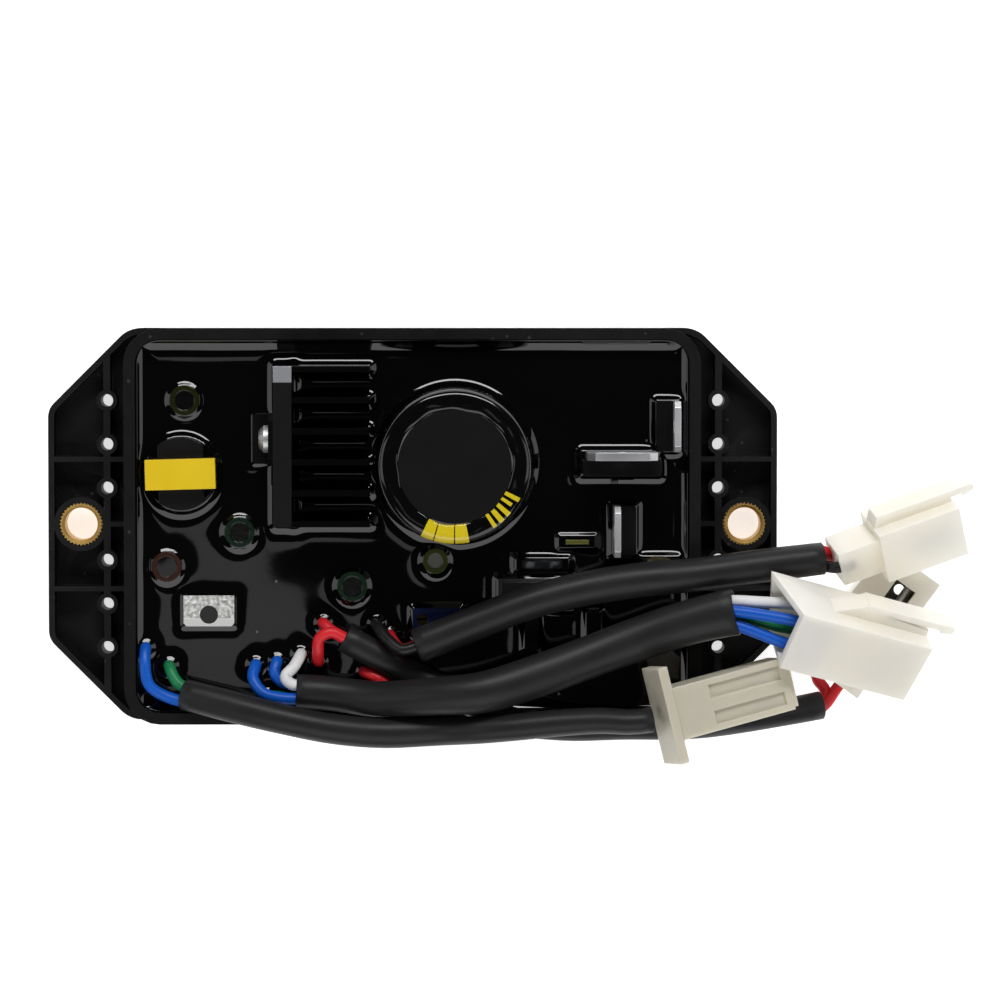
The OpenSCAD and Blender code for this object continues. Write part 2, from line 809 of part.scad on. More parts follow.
// Small capacitors: sleeve lip round a slightly sunk top
module small_cap(i) {
    c = small_caps[i];
    translate([c[0].x, c[0].y, board_top])
        difference() {
            cylinder(d = c[1], h = c[2] - board_top);
            translate([0, 0, c[2] - board_top - small_cap_dish])
                cylinder(d = c[1] - 2 * small_cap_lip, h = 1);
        }
}
module small_capacitor_1() {
    color([0.12, 0.14, 0.1])
    small_cap(0);
}
module small_capacitor_2() {
    color([0.1, 0.35, 0.22])
    small_cap(1);
}
module small_capacitor_3() {
    color([0.5, 0.25, 0.1])
    small_cap(2);
}
module small_capacitor_4() {
    color([0.1, 0.35, 0.22])
    small_cap(3);
}
module small_capacitor_5() {
    color([0.1, 0.35, 0.22])
    small_cap(4);
}

// Trimmer: block with the slotted screw let into one end of its top
module trimmer_body() {
    color([0.1, 0.3, 0.85])
    translate([trimmer_at.x, trimmer_at.y, board_top])
        difference() {
            cube([trimmer_l, trimmer_w, trimmer_h]);
            translate([trimmer_screw_x, trimmer_screw_y, trimmer_h - trimmer_screw_h])
                cylinder(d = trimmer_screw_d, h = trimmer_h);
            translate([1, -1, -1])
                cube([trimmer_l - 2, trimmer_w + 2, trimmer_foot_h + 1]);
        }
}
module trimmer_screw() {
    color([0.8, 0.65, 0.3])
    translate([trimmer_at.x + trimmer_screw_x, trimmer_at.y + trimmer_screw_y,
        board_top + trimmer_h - trimmer_screw_h])
        difference() {
            cylinder(d = trimmer_screw_d, h = trimmer_screw_h);
            translate([-trimmer_screw_d, -trimmer_slot_w / 2, trimmer_screw_h - 0.6])
                cube([2 * trimmer_screw_d, trimmer_slot_w, 1]);
        }
}

// Dipped disc on two leads, its axis along Y
module dipped_disc(at, d, t, pitch) {
    translate(at)
        rotate([90, 0, 0]) {
            translate([0, 0, -t / 2 + disc_edge])
                cylinder(d = d, h = t - 2 * disc_edge);
            for (s = [0, 1])
                mirror([0, 0, s])
                    translate([0, 0, t / 2 - disc_edge])
                        cylinder(d1 = d, d2 = d - 2 * disc_edge, h = disc_edge);
        }
    for (s = [-1, 1])
        translate([at.x + s * pitch / 2, at.y, board_top])
            cylinder(d = disc_lead_d, h = at.z - board_top);
}
module varistor() {
    color([0.2, 0.22, 0.25])
    dipped_disc(varistor_at, varistor_d, varistor_t, varistor_pitch);
}
module disc_capacitor() {
    color([0.35, 0.22, 0.12])
    dipped_disc(ceramic_at, ceramic_d, ceramic_t, ceramic_pitch);
}

module film_capacitor() {
    color([0.13, 0.13, 0.14])
    translate([film_at.x, film_at.y, board_top])
        difference() {
            cube([film_l, film_w, film_top - board_top]);
            difference() {
                translate([-1, -1, film_top - board_top - film_lid])
                    cube([film_l + 2, film_w + 2, film_lid + 1]);
                translate([film_lid, film_lid, 0])
                    cube([film_l - 2 * film_lid, film_w - 2 * film_lid, film_top]);
            }
        }
}

module axial_resistor() {
    color([0.4, 0.4, 0.16])
    translate(axial_at) {
        rotate([0, 90, 0])
            cylinder(d = axial_d, h = axial_l);
        translate([-axial_lead_out, 0, 0])
            rotate([0, 90, 0])
                cylinder(d = disc_lead_d, h = axial_l + 2 * axial_lead_out);
        for (x = [-axial_lead_out, axial_l + axial_lead_out])
            translate([x, 0, board_top - axial_at.z])
                cylinder(d = disc_lead_d, h = axial_at.z - board_top + disc_lead_d / 2);
    }
}

// Thin package standing across the board, with a screw hole near its top
module driver_transistor(x) {
    color([0.14, 0.14, 0.15])
    translate([x, driver_y, board_top]) {
        translate([0, 0, driver_leg])
            difference() {
                cube([driver_t, driver_w, driver_h]);
                translate([-1, driver_w / 2, driver_h - driver_hole_drop])
                    rotate([0, 90, 0])
                        cylinder(d = driver_hole_d, h = driver_t + 2);
            }
        for (k = [-1:1])
            translate([driver_t / 2 - pack_leg_t / 2, driver_w / 2 + k * 2.3 - pack_leg_w / 2, 0])
                cube([pack_leg_t, pack_leg_w, driver_leg]);
    }
}
module driver_transistor_1() {
    driver_transistor(driver_xs[0]);
}
module driver_transistor_2() {
    driver_transistor(driver_xs[1]);
}

// Lead sleeves
module sleeve_flange() {
    color([0.15, 0.15, 0.16])
    round_tube(concat(flange_route, plug_end(flanged_place, [0, 0, 0])), flange_sleeve_d, sleeve_sides);
}
module sleeve_four_way() {
    color([0.15, 0.15, 0.16])
    tube(four_route, [for (s = four_spread) four_sleeve_d / 2 + s], sleeve_sides);
}
module sleeve_two_way() {
    color([0.15, 0.15, 0.16])
    round_tube(two_route, two_sleeve_d, sleeve_sides);
}
module sleeve_socket() {
    color([0.15, 0.15, 0.16])
    round_tube(socket_route, socket_sleeve_d, sleeve_sides);
}

// Wires: from the resin to a sleeve, and from the sleeve's other end into a housing
module wire(p) {
    round_tube(p, wire_d, wire_sides);
}
module wire_blue_flange() {
    color([0.1, 0.35, 0.85])
    wire(concat(resin_end(-52.7, -24, 1.2), [[-52.7, -26.6, 17.6], [-51.8, -31.2, 18]],
        start_end(flange_route, -1.4, 0, tail_run)));
}
module wire_green_flange() {
    color([0.1, 0.45, 0.28])
    wire(concat(resin_end(-48, -27.6, 1.2), start_end(flange_route, 1.4, 0, short_run)));
}
module wire_blue_left() {
    color([0.1, 0.35, 0.85])
    wire(concat(resin_end(-31, -27.4, 1.2), [[-31.4, -29.8, 18], [-29.4, -32.6, 19.4]],
        start_end(four_route, -1.4, 1.4, tail_run)));
    wire(concat(finish_end(four_route, 1.5, 1.5, tail_run),
        plug_end(four_place, [four_skirt, four_pitch / 2, four_pitch / 2])));
}
module wire_blue_right() {
    color([0.1, 0.35, 0.85])
    wire(concat(resin_end(-26.8, -26.8, 1.2), [[-27.2, -29, 16.6]],
                start_end(four_route, 1.4, -1.4, tail_run)));
    wire(concat(finish_end(four_route, -1.5, 1.5, tail_run),
        plug_end(four_place, [four_skirt, -four_pitch / 2, four_pitch / 2])));
}
module wire_white() {
    color([0.9, 0.9, 0.9])
    wire(concat(resin_end(-22.2, -25.5, 2), [[-23.4, -27.6, 18.8], [-25.2, -29.6, 19.6]],
        start_end(four_route, 1.4, 1.4, short_run)));
    wire(concat(finish_end(four_route, 1.5, -1.5, tail_run),
        plug_end(four_place, [four_skirt, four_pitch / 2, -four_pitch / 2])));
}
module wire_green() {
    color([0.1, 0.45, 0.28])
    wire(concat(resin_end(-28.6, -33.6, 1.2), start_end(four_route, -1.4, -1.4, tail_run)));
    wire(concat(finish_end(four_route, -1.5, -1.5, tail_run),
        plug_end(four_place, [four_skirt, -four_pitch / 2, -four_pitch / 2])));
}
module wire_red_plug() {
    color([0.82, 0.12, 0.15])
    wire(concat(resin_end(-4.4, -21.6, 1), start_end(two_route, 0, -1.6, tail_run)));
    wire(concat(finish_end(two_route, 1.5, 0, short_run),
                plug_end(two_place, [wire_depth, 0, -two_pitch / 2])));
}
module wire_black_plug() {
    color([0.12, 0.12, 0.12])
    wire(concat(resin_end(-7, -19.4, 3), start_end(two_route, 0, 1.6, tail_run)));
    wire(concat(finish_end(two_route, -1.5, 0, short_run),
                plug_end(two_place, [wire_depth, 0, two_pitch / 2])));
}
module wire_red_upper() {
    color([0.82, 0.12, 0.15])
    wire(concat(resin_end(-18.6, -26.8, 1), [[-18.6, -24.6, 18.4], [-18.2, -21.8, 19.4]],
        start_end(socket_route, 0, 1.35, tail_run)));
    wire(concat(finish_end(socket_route, -1.35, 0, short_run),
        plug_end(socket_place, [wire_depth, -socket_pitch / 2, 0])));
}
module wire_red_lower() {
    color([0.82, 0.12, 0.15])
    wire(concat(resin_end(-17.6, -19.2, 1.3), start_end(socket_route, 0, -1.35, tail_run)));
    wire(concat(finish_end(socket_route, 1.35, 0, short_run),
        plug_end(socket_place, [wire_depth, socket_pitch / 2, 0])));
}
module wire_jumper() {
    color([0.82, 0.12, 0.15])
    wire(concat(resin_end(-9.4, -28.9, jumper_rise), [[-7.6, -29.6, 17], [-5.8, -30.5, 17]],
        [[-4, -31.3, resin_z + jumper_rise], [-4, -31.3, resin_z]]));
}

// Housings, drawn with the wire end at X 0 and the mating end at +X
module wire_holes(ys, zs, x0) {
    for (y = ys, z = zs)
        translate([x0 - 1, y, z])
            rotate([0, 90, 0])
                cylinder(d = wire_entry, h = wire_depth + 1);
}
module contact_holes(ys, zs, l) {
    for (y = ys, z = zs)
        translate([l - contact_depth, y - contact_hole / 2, z - contact_hole / 2])
            cube([contact_depth + 1, contact_hole, contact_hole]);
}
module contact_tubes(ys, zs, l) {
    color([0.72, 0.6, 0.3])
    for (y = ys, z = zs)
        translate([l - contact_depth, y, z])
            rotate([0, 90, 0])
                difference() {
                    cylinder(d = contact_tube_d, h = contact_tube_l);
                    translate([0, 0, 1])
                        cylinder(d = pin_d, h = contact_tube_l);
                }
}
// Spring latch along a face: y is the face, x0 to x1 its length
module latch(y, gap, x0, x1) {
    translate([x0, y, -latch_w / 2])
        cube([latch_t * 1.5, gap, latch_w]);
    translate([0, 0, -latch_w / 2])
        linear_extrude(latch_w)
            polygon([[x0, y + gap], [x1 - 2.5, y + gap], [x1 - 2.5, y + gap - 0.6],
                [x1, y + gap], [x1, y + gap + latch_t], [x0, y + gap + latch_t]]);
}
two_zs = [-two_pitch / 2, two_pitch / 2];
four_ys = [-four_pitch / 2, four_pitch / 2];
module plug_two_way() {
    color([0.92, 0.9, 0.84])
    placed(two_place) {
        difference() {
            union() {
                translate([0, -two_rear_w / 2, -two_rear_h / 2])
                    cube([two_rear_l, two_rear_w, two_rear_h]);
                translate([two_rear_l, -two_w / 2, -two_h / 2])
                    cube([two_l - two_rear_l, two_w, two_h]);
            }
            wire_holes([0], two_zs, 0);
            contact_holes([0], two_zs, two_l);
        }
        latch(two_w / 2, two_latch_gap, two_rear_l + 1, two_l + latch_over);
    }
}
module contacts_two_way() {
    placed(two_place)
        contact_tubes([0], two_zs, two_l);
}
module plug_four_way() {
    color([0.92, 0.9, 0.84])
    placed(four_place) {
        difference() {
            union() {
                translate([-four_skirt, -four_w / 2, -four_w / 2])
                    cube([four_l + four_skirt, four_w, four_w]);
                // Raised band on the side away from the latch
                translate([four_skirt + 3, -four_w / 2 - four_rib_t, -four_w / 2 + four_rib_inset])
                    cube([four_l - four_skirt - 5, four_w, four_w - 2 * four_rib_inset]);
            }
            translate([-2 * four_skirt, -four_w / 2 + four_skirt_t, -four_w / 2 + four_skirt_t])
                cube([3 * four_skirt, four_w - 2 * four_skirt_t, four_w - 2 * four_skirt_t]);
            // Mouth of the skirt slants back towards its lower edge and its far side
            rotate([-four_place[3], 0, 0])
                translate([-four_skirt_over, 0, 0])
                    rotate([0, four_skirt_slant, four_skirt_turn])
                        translate([-2 * four_w, -four_w, -four_w])
                            cube([2 * four_w, 2 * four_w, 2 * four_w]);
            contact_holes(four_ys, four_ys, four_l);
        }
        latch(four_w / 2, four_latch_gap, four_skirt + 6, four_l + latch_over);
    }
}
module contacts_four_way() {
    placed(four_place)
        contact_tubes(four_ys, four_ys, four_l);
}
module socket_two_way() {
    color([0.92, 0.9, 0.84])
    placed(socket_place)
        difference() {
            translate([0, -socket_w / 2, -socket_h / 2])
                cube([socket_l, socket_w, socket_h]);
            wire_holes([-socket_pitch / 2, socket_pitch / 2], [0], 0);
            translate([socket_l - socket_hood, -socket_w / 2 + socket_wall, -socket_h / 2 + socket_wall])
                cube([socket_hood + 1, socket_w - 2 * socket_wall, socket_h - 2 * socket_wall]);
            translate([socket_l - window_back - window_l, -window_w / 2 - socket_pitch / 2 + 1.4, 0])
                cube([window_l, window_w, socket_h]);
        }
}
module contact_pins(ys, root_x) {
    color([0.8, 0.75, 0.6])
    for (y = ys)
        translate([root_x, y, 0])
            rotate([0, 90, 0]) {
                cylinder(d = pin_d, h = pin_l - 1);
                translate([0, 0, pin_l - 1])
                    cylinder(d1 = pin_d, d2 = pin_d / 2, h = 1);
            }
}
module pins_socket() {
    placed(socket_place)
        contact_pins([-socket_pitch / 2, socket_pitch / 2], socket_l - socket_hood);
}
module socket_flanged() {
    color([0.92, 0.9, 0.84])
    placed(flanged_place)
        difference() {
            union() {
                translate([0, -flange_w / 2, -flange_h / 2])
                    cube([flange_t, flange_w, flange_h]);
                translate([flange_t, -flanged_w / 2, -flanged_h / 2])
                    cube([flanged_l - flange_t - flanged_bevel, flanged_w, flanged_h]);
                translate([flanged_l - flanged_bevel, -flanged_w / 2 + flanged_bevel / 2,
                    -flanged_h / 2 + flanged_bevel / 2])
                    cube([flanged_bevel, flanged_w - flanged_bevel, flanged_h - flanged_bevel]);
            }
            translate([flanged_l - flanged_hood, -flanged_w / 2 + flanged_wall,
                       -flanged_h / 2 + flanged_wall])
                cube([flanged_hood + 1, flanged_w - 2 * flanged_wall, flanged_h - 2 * flanged_wall]);
            for (s = [-1, 1])
                translate([flanged_groove_x, s * flanged_w / 4 - flanged_groove_w / 2,
                    flanged_h / 2 - flanged_groove_d])
                    cube([flanged_l - flanged_groove_x - 2.5, flanged_groove_w, flanged_h]);
        }
}
module pins_flanged() {
    placed(flanged_place)
        contact_pins([-flanged_pitch / 2, flanged_pitch / 2], flanged_l - flanged_hood);
}

case();
bush_left();
bush_right();
circuit_board();
potting_resin();
capacitor_can();
capacitor_sleeve();
capacitor_disc();
heat_sink();
heat_sink_screw();
clamped_transistor_body();
clamped_transistor_frame();
transformer_bobbin();
transformer_winding();
transformer_core();
transformer_tape();
small_capacitor_1();
small_capacitor_2();
small_capacitor_3();
small_capacitor_4();
small_capacitor_5();
flat_transistor_body();
flat_transistor_frame();
trimmer_body();
trimmer_screw();
side_transistor_body();
side_transistor_frame();
power_transistor_body();
power_transistor_frame();
centre_transistor_body();
centre_transistor_frame();
driver_transistor_1();
driver_transistor_2();
varistor();
disc_capacitor();
film_capacitor();
axial_resistor();
sleeve_flange();
sleeve_four_way();
sleeve_two_way();
sleeve_socket();
wire_blue_flange();
wire_green_flange();
wire_blue_left();
wire_blue_right();
wire_white();
wire_green();
wire_red_plug();
wire_black_plug();
wire_red_upper();
wire_red_lower();
wire_jumper();
plug_two_way();
plug_four_way();
socket_two_way();
socket_flanged();
contacts_two_way();
contacts_four_way();
pins_socket();
pins_flanged();
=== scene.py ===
"""Looks of the potted voltage regulator, built round its packed construction model.

Lengths are metres, or millimetres where a comment says so, in the part's own frame: the origin is the
middle of the tray's flat back, +X runs along the ears towards the connectors and +Z comes out of the
tray's open side.
"""
import json
import math

import bmesh
import bpy
import numpy as np
from mathutils import Matrix, Vector

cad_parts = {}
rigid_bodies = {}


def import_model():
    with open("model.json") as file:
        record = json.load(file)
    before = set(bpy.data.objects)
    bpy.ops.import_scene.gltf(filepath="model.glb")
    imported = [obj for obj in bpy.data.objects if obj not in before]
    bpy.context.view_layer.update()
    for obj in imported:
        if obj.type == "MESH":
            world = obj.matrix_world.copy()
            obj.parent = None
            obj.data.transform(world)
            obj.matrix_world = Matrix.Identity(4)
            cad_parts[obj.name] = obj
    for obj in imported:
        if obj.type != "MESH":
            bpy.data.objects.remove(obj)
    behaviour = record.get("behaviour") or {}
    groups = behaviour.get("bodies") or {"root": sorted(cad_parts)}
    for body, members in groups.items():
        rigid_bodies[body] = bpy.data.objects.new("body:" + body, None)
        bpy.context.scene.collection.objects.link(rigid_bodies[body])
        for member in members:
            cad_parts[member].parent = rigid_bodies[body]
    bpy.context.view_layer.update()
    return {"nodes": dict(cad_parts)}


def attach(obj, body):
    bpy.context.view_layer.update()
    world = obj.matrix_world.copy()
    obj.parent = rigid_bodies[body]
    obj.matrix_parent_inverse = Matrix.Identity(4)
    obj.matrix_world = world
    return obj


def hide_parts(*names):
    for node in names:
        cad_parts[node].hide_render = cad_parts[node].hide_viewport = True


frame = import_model()

# Camera: almost square above the tray and nearly a metre away, so the picture is close to a plan.
# It stands a little towards +Y, which shows the +Y walls of the tall parts.
scene = bpy.context.scene
camera_at = Vector((0.008, 0.045, 0.9))
camera_aim = Vector((0.0173, 0.0049, 0.010))
camera_field = 0.1984
camera_sensor = 36
camera_back = (camera_at - camera_aim).normalized()
camera_right = Vector((0, 1, 0)).cross(camera_back).normalized()
camera_up = camera_back.cross(camera_right)
camera = bpy.data.objects.new("camera", bpy.data.cameras.new("camera"))
camera.matrix_world = Matrix.Translation(camera_at) @ Matrix(
    (camera_right, camera_up, camera_back)).transposed().to_4x4()
camera.data.sensor_width = camera_sensor
camera.data.lens = camera_sensor * (camera_at - camera_aim).length / camera_field
camera.data.clip_start = 0.05
camera.data.clip_end = 10
scene.collection.objects.link(camera)
scene.camera = camera


# Case: the tray with its two ribbed ears, one moulding in black filled nylon with a satin skin.
# It is the part that bolts down; everything else is moulded or cast into it. Its rib tops are painted paler,
# a painted highlight where their edges catch light.
def tint(code):
    """Linear colour of a six-digit sRGB code."""
    share = np.array([int(code[place:place + 2], 16) for place in (0, 2, 4)]) / 255
    return tuple(np.where(share <= 0.04045, share / 12.92, ((share + 0.055) / 1.055) ** 2.4).tolist())


def add_node(tree, kind, sockets=None, **settings):
    """Adds one shader node: settings are its options, sockets its values or the outputs linked to it."""
    made = tree.nodes.new("ShaderNode" + kind)
    for key, value in settings.items():
        setattr(made, key, value)
    for key, value in (sockets or {}).items():
        if isinstance(value, bpy.types.NodeSocket):
            tree.links.new(value, made.inputs[key])
        else:
            made.inputs[key].default_value = value
    return made


def maths(tree, operation, first, second=0.0):
    """One step of arithmetic on two values, each a number or a linked output."""
    return add_node(tree, "Math", {0: first, 1: second}, operation=operation).outputs[0]


def new_material(name, base, **values):
    """A material with one Principled shader: its base colour code and its other sockets by name."""
    material = bpy.data.materials.new(name)
    material.use_nodes = True
    shader = material.node_tree.nodes["Principled BSDF"]
    shader.inputs["Base Color"].default_value = (*tint(base), 1)
    for key, value in values.items():
        shader.inputs[key.replace("_", " ")].default_value = value
    return material, material.node_tree, shader


def feed(tree, shader, **outputs):
    """Links outputs to a shader's sockets, each given by the socket's name."""
    for key, output in outputs.items():
        tree.links.new(output, shader.inputs[key.replace("_", " ")])


def new_group(name, inputs, outputs):
    """A shader node group with float inputs (name: value) and outputs (name: socket kind)."""
    group = bpy.data.node_groups.new(name, "ShaderNodeTree")
    for key, value in inputs.items():
        socket = group.interface.new_socket(key, in_out="INPUT", socket_type="NodeSocketFloat")
        socket.default_value = value
    for key, kind in outputs.items():
        group.interface.new_socket(key, in_out="OUTPUT", socket_type="NodeSocket" + kind)
    return group, group.nodes.new("NodeGroupInput").outputs, group.nodes.new("NodeGroupOutput").inputs


def use_group(tree, group, **values):
    """Places a group in a material with its own values and returns its outputs."""
    sockets = {key.replace("_", " "): value for key, value in values.items()}
    return add_node(tree, "Group", sockets, node_tree=group).outputs


# Grain: fine noise as a bump, and the same noise ten times as large as a mottle from 0 to 1.
grain_group, grain_in, grain_out = new_group(
    "grain", {"Scale": 900.0, "Depth": 0.2}, {"Normal": "Vector", "Mottle": "Float"})
grain_coords = add_node(grain_group, "TexCoord").outputs["Object"]
grain_fine = add_node(grain_group, "TexNoise", {
    "Vector": grain_coords, "Scale": grain_in["Scale"], "Detail": 3.0})
grain_wide = add_node(grain_group, "TexNoise", {
    "Vector": grain_coords, "Scale": maths(grain_group, "MULTIPLY", grain_in["Scale"], 0.1), "Detail": 4.0})
grain_bump = add_node(grain_group, "Bump", {
    "Height": grain_fine.outputs[0], "Strength": grain_in["Depth"], "Distance": 0.0002})
grain_group.links.new(grain_bump.outputs[0], grain_out["Normal"])
grain_group.links.new(grain_wide.outputs[0], grain_out["Mottle"])

# Between: a mask that is 1 where a value lies between two limits, with soft edges.
between_group, between_in, between_out = new_group(
    "between", {"Value": 0.0, "From": 0.0, "To": 1.0, "Soft": 0.01}, {"Mask": "Float"})
between_low = maths(between_group, "SUBTRACT", between_in["From"], between_in["Soft"])
between_high = maths(between_group, "ADD", between_in["To"], between_in["Soft"])
between_edges = [add_node(between_group, "MapRange", {
    "Value": between_in["Value"], "From Min": outside, "From Max": inside},
    interpolation_type="SMOOTHSTEP").outputs[0]
    for outside, inside in ((between_low, between_in["From"]), (between_high, between_in["To"]))]
between_group.links.new(maths(between_group, "MULTIPLY", *between_edges), between_out["Mask"])

# Specks: sparse dust grains, a mask that is 1 near the middle of a few cells of a cell pattern.
specks_group, specks_in, specks_out = new_group(
    "specks", {"Scale": 400.0, "Share": 0.1, "Size": 0.18}, {"Mask": "Float"})
specks_cells = add_node(specks_group, "TexVoronoi", {
    "Vector": add_node(specks_group, "TexCoord").outputs["Object"], "Scale": specks_in["Scale"]})
specks_pick = add_node(specks_group, "SeparateColor", {0: specks_cells.outputs["Color"]})
specks_few = maths(specks_group, "LESS_THAN", specks_pick.outputs[0], specks_in["Share"])
specks_near = maths(specks_group, "LESS_THAN", specks_cells.outputs["Distance"], specks_in["Size"])
specks_group.links.new(maths(specks_group, "MULTIPLY", specks_few, specks_near), specks_out["Mask"])


def band(tree, value, low, high, soft):
    """A mask that is 1 where a value lies between two limits and fades over a soft width beyond them."""
    return use_group(tree, between_group, Value=value, From=low, To=high, Soft=soft)["Mask"]


def blended(tree, mask, below, above):
    """Colour that goes from below to above with a mask; each is a colour code or a linked colour."""
    mix = add_node(tree, "Mix", {0: mask}, data_type="RGBA")
    for socket, colour in ((mix.inputs[6], below), (mix.inputs[7], above)):
        if isinstance(colour, str):
            socket.default_value = (*tint(colour), 1)
        else:
            tree.links.new(colour, socket)
    return mix.outputs[2]


def spread(tree, mask, low, high):
    """A value that goes from low to high with a mask from 0 to 1."""
    return add_node(tree, "MapRange", {"Value": mask, "To Min": low, "To Max": high}).outputs[0]


def place_of(tree):
    """The X, Y and Z outputs of the surface point in the part's frame."""
    return add_node(tree, "SeparateXYZ", {0: add_node(tree, "TexCoord").outputs["Object"]}).outputs


def softened(node, width, segments=2):
    """A copy of a CAD node: its triangles merged into whole faces, its sharp edges rounded by a bevel."""
    flat_angle, sharp_angle = math.radians(1), math.radians(30)
    work = bmesh.new()
    work.from_mesh(frame["nodes"][node].data)
    bmesh.ops.remove_doubles(work, verts=work.verts, dist=1e-6)
    bmesh.ops.dissolve_limit(work, angle_limit=flat_angle, verts=work.verts, edges=work.edges)
    mesh = bpy.data.meshes.new(node + "_shape")
    work.to_mesh(mesh)
    work.free()
    mesh.shade_smooth()
    mesh.set_sharp_from_angle(angle=sharp_angle)
    made = bpy.data.objects.new(node + "_shape", mesh)
    scene.collection.objects.link(made)
    bevel = made.modifiers.new("edges", "BEVEL")
    bevel.width = width
    bevel.segments = segments
    bevel.limit_method = "ANGLE"
    bevel.angle_limit = sharp_angle
    bevel.harden_normals = True
    return made


def finish_piece(piece, material, slot, *nodes):
    """Gives a piece its material, its place on the fixed body and the CAD nodes it stands for. The slot is
    not used.
    """
    piece.data.materials.clear()
    piece.data.materials.append(material)
    if nodes:
        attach(piece, "root")
        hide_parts(*nodes)
    return piece


case_material, case_tree, case_shader = new_material("case_plastic", "0c0c0d", Specular_IOR_Level=0.2)
case_grain = use_group(case_tree, grain_group, Scale=2600.0, Depth=0.22)
case_dust = use_group(case_tree, specks_group, Scale=700.0, Share=0.06, Size=0.22)["Mask"]
rib_top = 0.0070
# Painted highlight: the band at rib height is lightened, with a mottle, where the rib edges catch light
case_top = band(case_tree, place_of(case_tree)["Z"], rib_top - 0.0002, rib_top + 0.0002, 0.0002)
case_rib_highlight = maths(case_tree, "MULTIPLY", case_top, spread(case_tree, case_grain["Mottle"], 0.25, 0.95))
case_plain = blended(case_tree, case_grain["Mottle"], "080809", "0e0e0f")
case_plain_and_rib_highlight = blended(case_tree, case_rib_highlight, case_plain, "1b1b1d")
feed(case_tree, case_shader, Base_Color=blended(case_tree, case_dust, case_plain_and_rib_highlight, "323230"),
     Roughness=spread(case_tree, case_grain["Mottle"], 0.42, 0.6), Normal=case_grain["Normal"])
finish_piece(softened("case", 0.0003), case_material, "case_plastic", "case")


# Bushes: two brass sleeves moulded into the ears, which carry the fixing screws' clamp load.
# Turned, knurled outside so that they can't spin, and left bare.
def grained(name, colours, rough, scale, depth=0.0, **values):
    """A material whose mottle runs its colour between two codes and its roughness between two values.
    A single code or value stays plain, and where a depth is given the fine grain is its bump."""
    pair = isinstance(colours, tuple)
    material, tree, shader = new_material(name, colours[0] if pair else colours, **values)
    grain = use_group(tree, grain_group, Scale=scale, Depth=depth)
    if pair:
        feed(tree, shader, Base_Color=blended(tree, grain["Mottle"], *colours))
    if isinstance(rough, tuple):
        feed(tree, shader, Roughness=spread(tree, grain["Mottle"], *rough))
    else:
        shader.inputs["Roughness"].default_value = rough
    if depth:
        feed(tree, shader, Normal=grain["Normal"])
    return material


bush_material = grained("brass", ("b88a3c", "e8c678"), (0.32, 0.5), 1500.0, 0.15, Metallic=0.6)
for node in ("bush_left", "bush_right"):
    finish_piece(softened(node, 0.00008), bush_material, "brass", node)

# Circuit board: glass-filled laminate on the tray's four posts, wholly under the resin.
# Its green solder mask is faintly mottled.
board_material = grained("board", ("173d23", "245a33"), 0.45, 1800.0)
finish_piece(frame["nodes"]["circuit_board"], board_material, "board")


# Potting resin: black epoxy poured round the parts, which sets glossy and climbs every wall it wets.
# The climb dies away over about two millimetres; the rest is level with faint flow waves.
def put_mesh(name, points, faces, smooth=True):
    """A mesh object from an array of points and lists of faces. The faces are cut into fans of triangles,
    and where the sum of their signed volumes is below zero all of them are turned round."""
    corners = np.concatenate([
        np.stack([face[:, np.zeros(face.shape[1] - 2, int)], face[:, 1:-1], face[:, 2:]], axis=-1)
        .reshape(-1, 3) for face in faces])
    first, second, third = (points[corners[:, place]] for place in range(3))
    order = 1 if np.einsum("ij,ij->i", first, np.cross(second, third)).sum() > 0 else -1
    mesh = bpy.data.meshes.new(name)
    mesh.from_pydata(points.tolist(), [], sum([face[:, ::order].tolist() for face in faces], []))
    mesh.polygons.foreach_set("use_smooth", np.full(len(mesh.polygons), smooth))
    made = bpy.data.objects.new(name, mesh)
    scene.collection.objects.link(made)
    return made


def inside(material):
    """A material's node tree, its shader and the output that its base colour is linked to, if any."""
    shader = material.node_tree.nodes["Principled BSDF"]
    links = shader.inputs["Base Color"].links
    return material.node_tree, shader, (links[0].from_socket if links else None)


def foot_of(*nodes):
    """Middle X and Y, half length and half width, in millimetres, of the box round some CAD nodes."""
    corners = 1000 * np.concatenate([np.array(frame["nodes"][node].bound_box) for node in nodes])[:, :2]
    low, high = corners.min(0), corners.max(0)
    return *(low + high) / 2, *(high - low) / 2


resin_box = np.array(frame["nodes"]["potting_resin"].bound_box)
resin_half = resin_box.max(0)[:2]
resin_level = resin_box.max(0)[2]
floor_gap = 0.0001
resin_floor = resin_box.min(0)[2] + floor_gap
resin_corner = 0.0048
resin_step = 0.0004
# Round feet: middle X and Y, radius and how far the resin climbs there, in millimetres
resin_rounds = [(*foot_of(node)[:3], climb) for node, climb in (
    ("capacitor_sleeve", 1.7), ("transformer_bobbin", 1.3), ("small_capacitor_1", 0.8),
    ("small_capacitor_2", 0.9), ("small_capacitor_3", 0.7), ("small_capacitor_4", 0.9),
    ("small_capacitor_5", 1.0))]
# The wires' feet: X, Y and climb
wire_foot_radius = 1.1
resin_rounds += [(x, y, wire_foot_radius, climb) for x, y, climb in (
    (-52.7, -24.0, 1.0), (-48.0, -27.6, 0.9), (-31.0, -27.4, 0.9), (-26.8, -26.8, 0.9), (-22.2, -25.5, 1.0),
    (-28.6, -33.6, 0.7), (-4.4, -21.6, 0.8), (-7.0, -19.4, 0.9), (-18.6, -26.8, 0.9), (-17.6, -19.2, 0.8),
    (-9.4, -28.9, 0.7), (-4.0, -31.3, 0.7))]
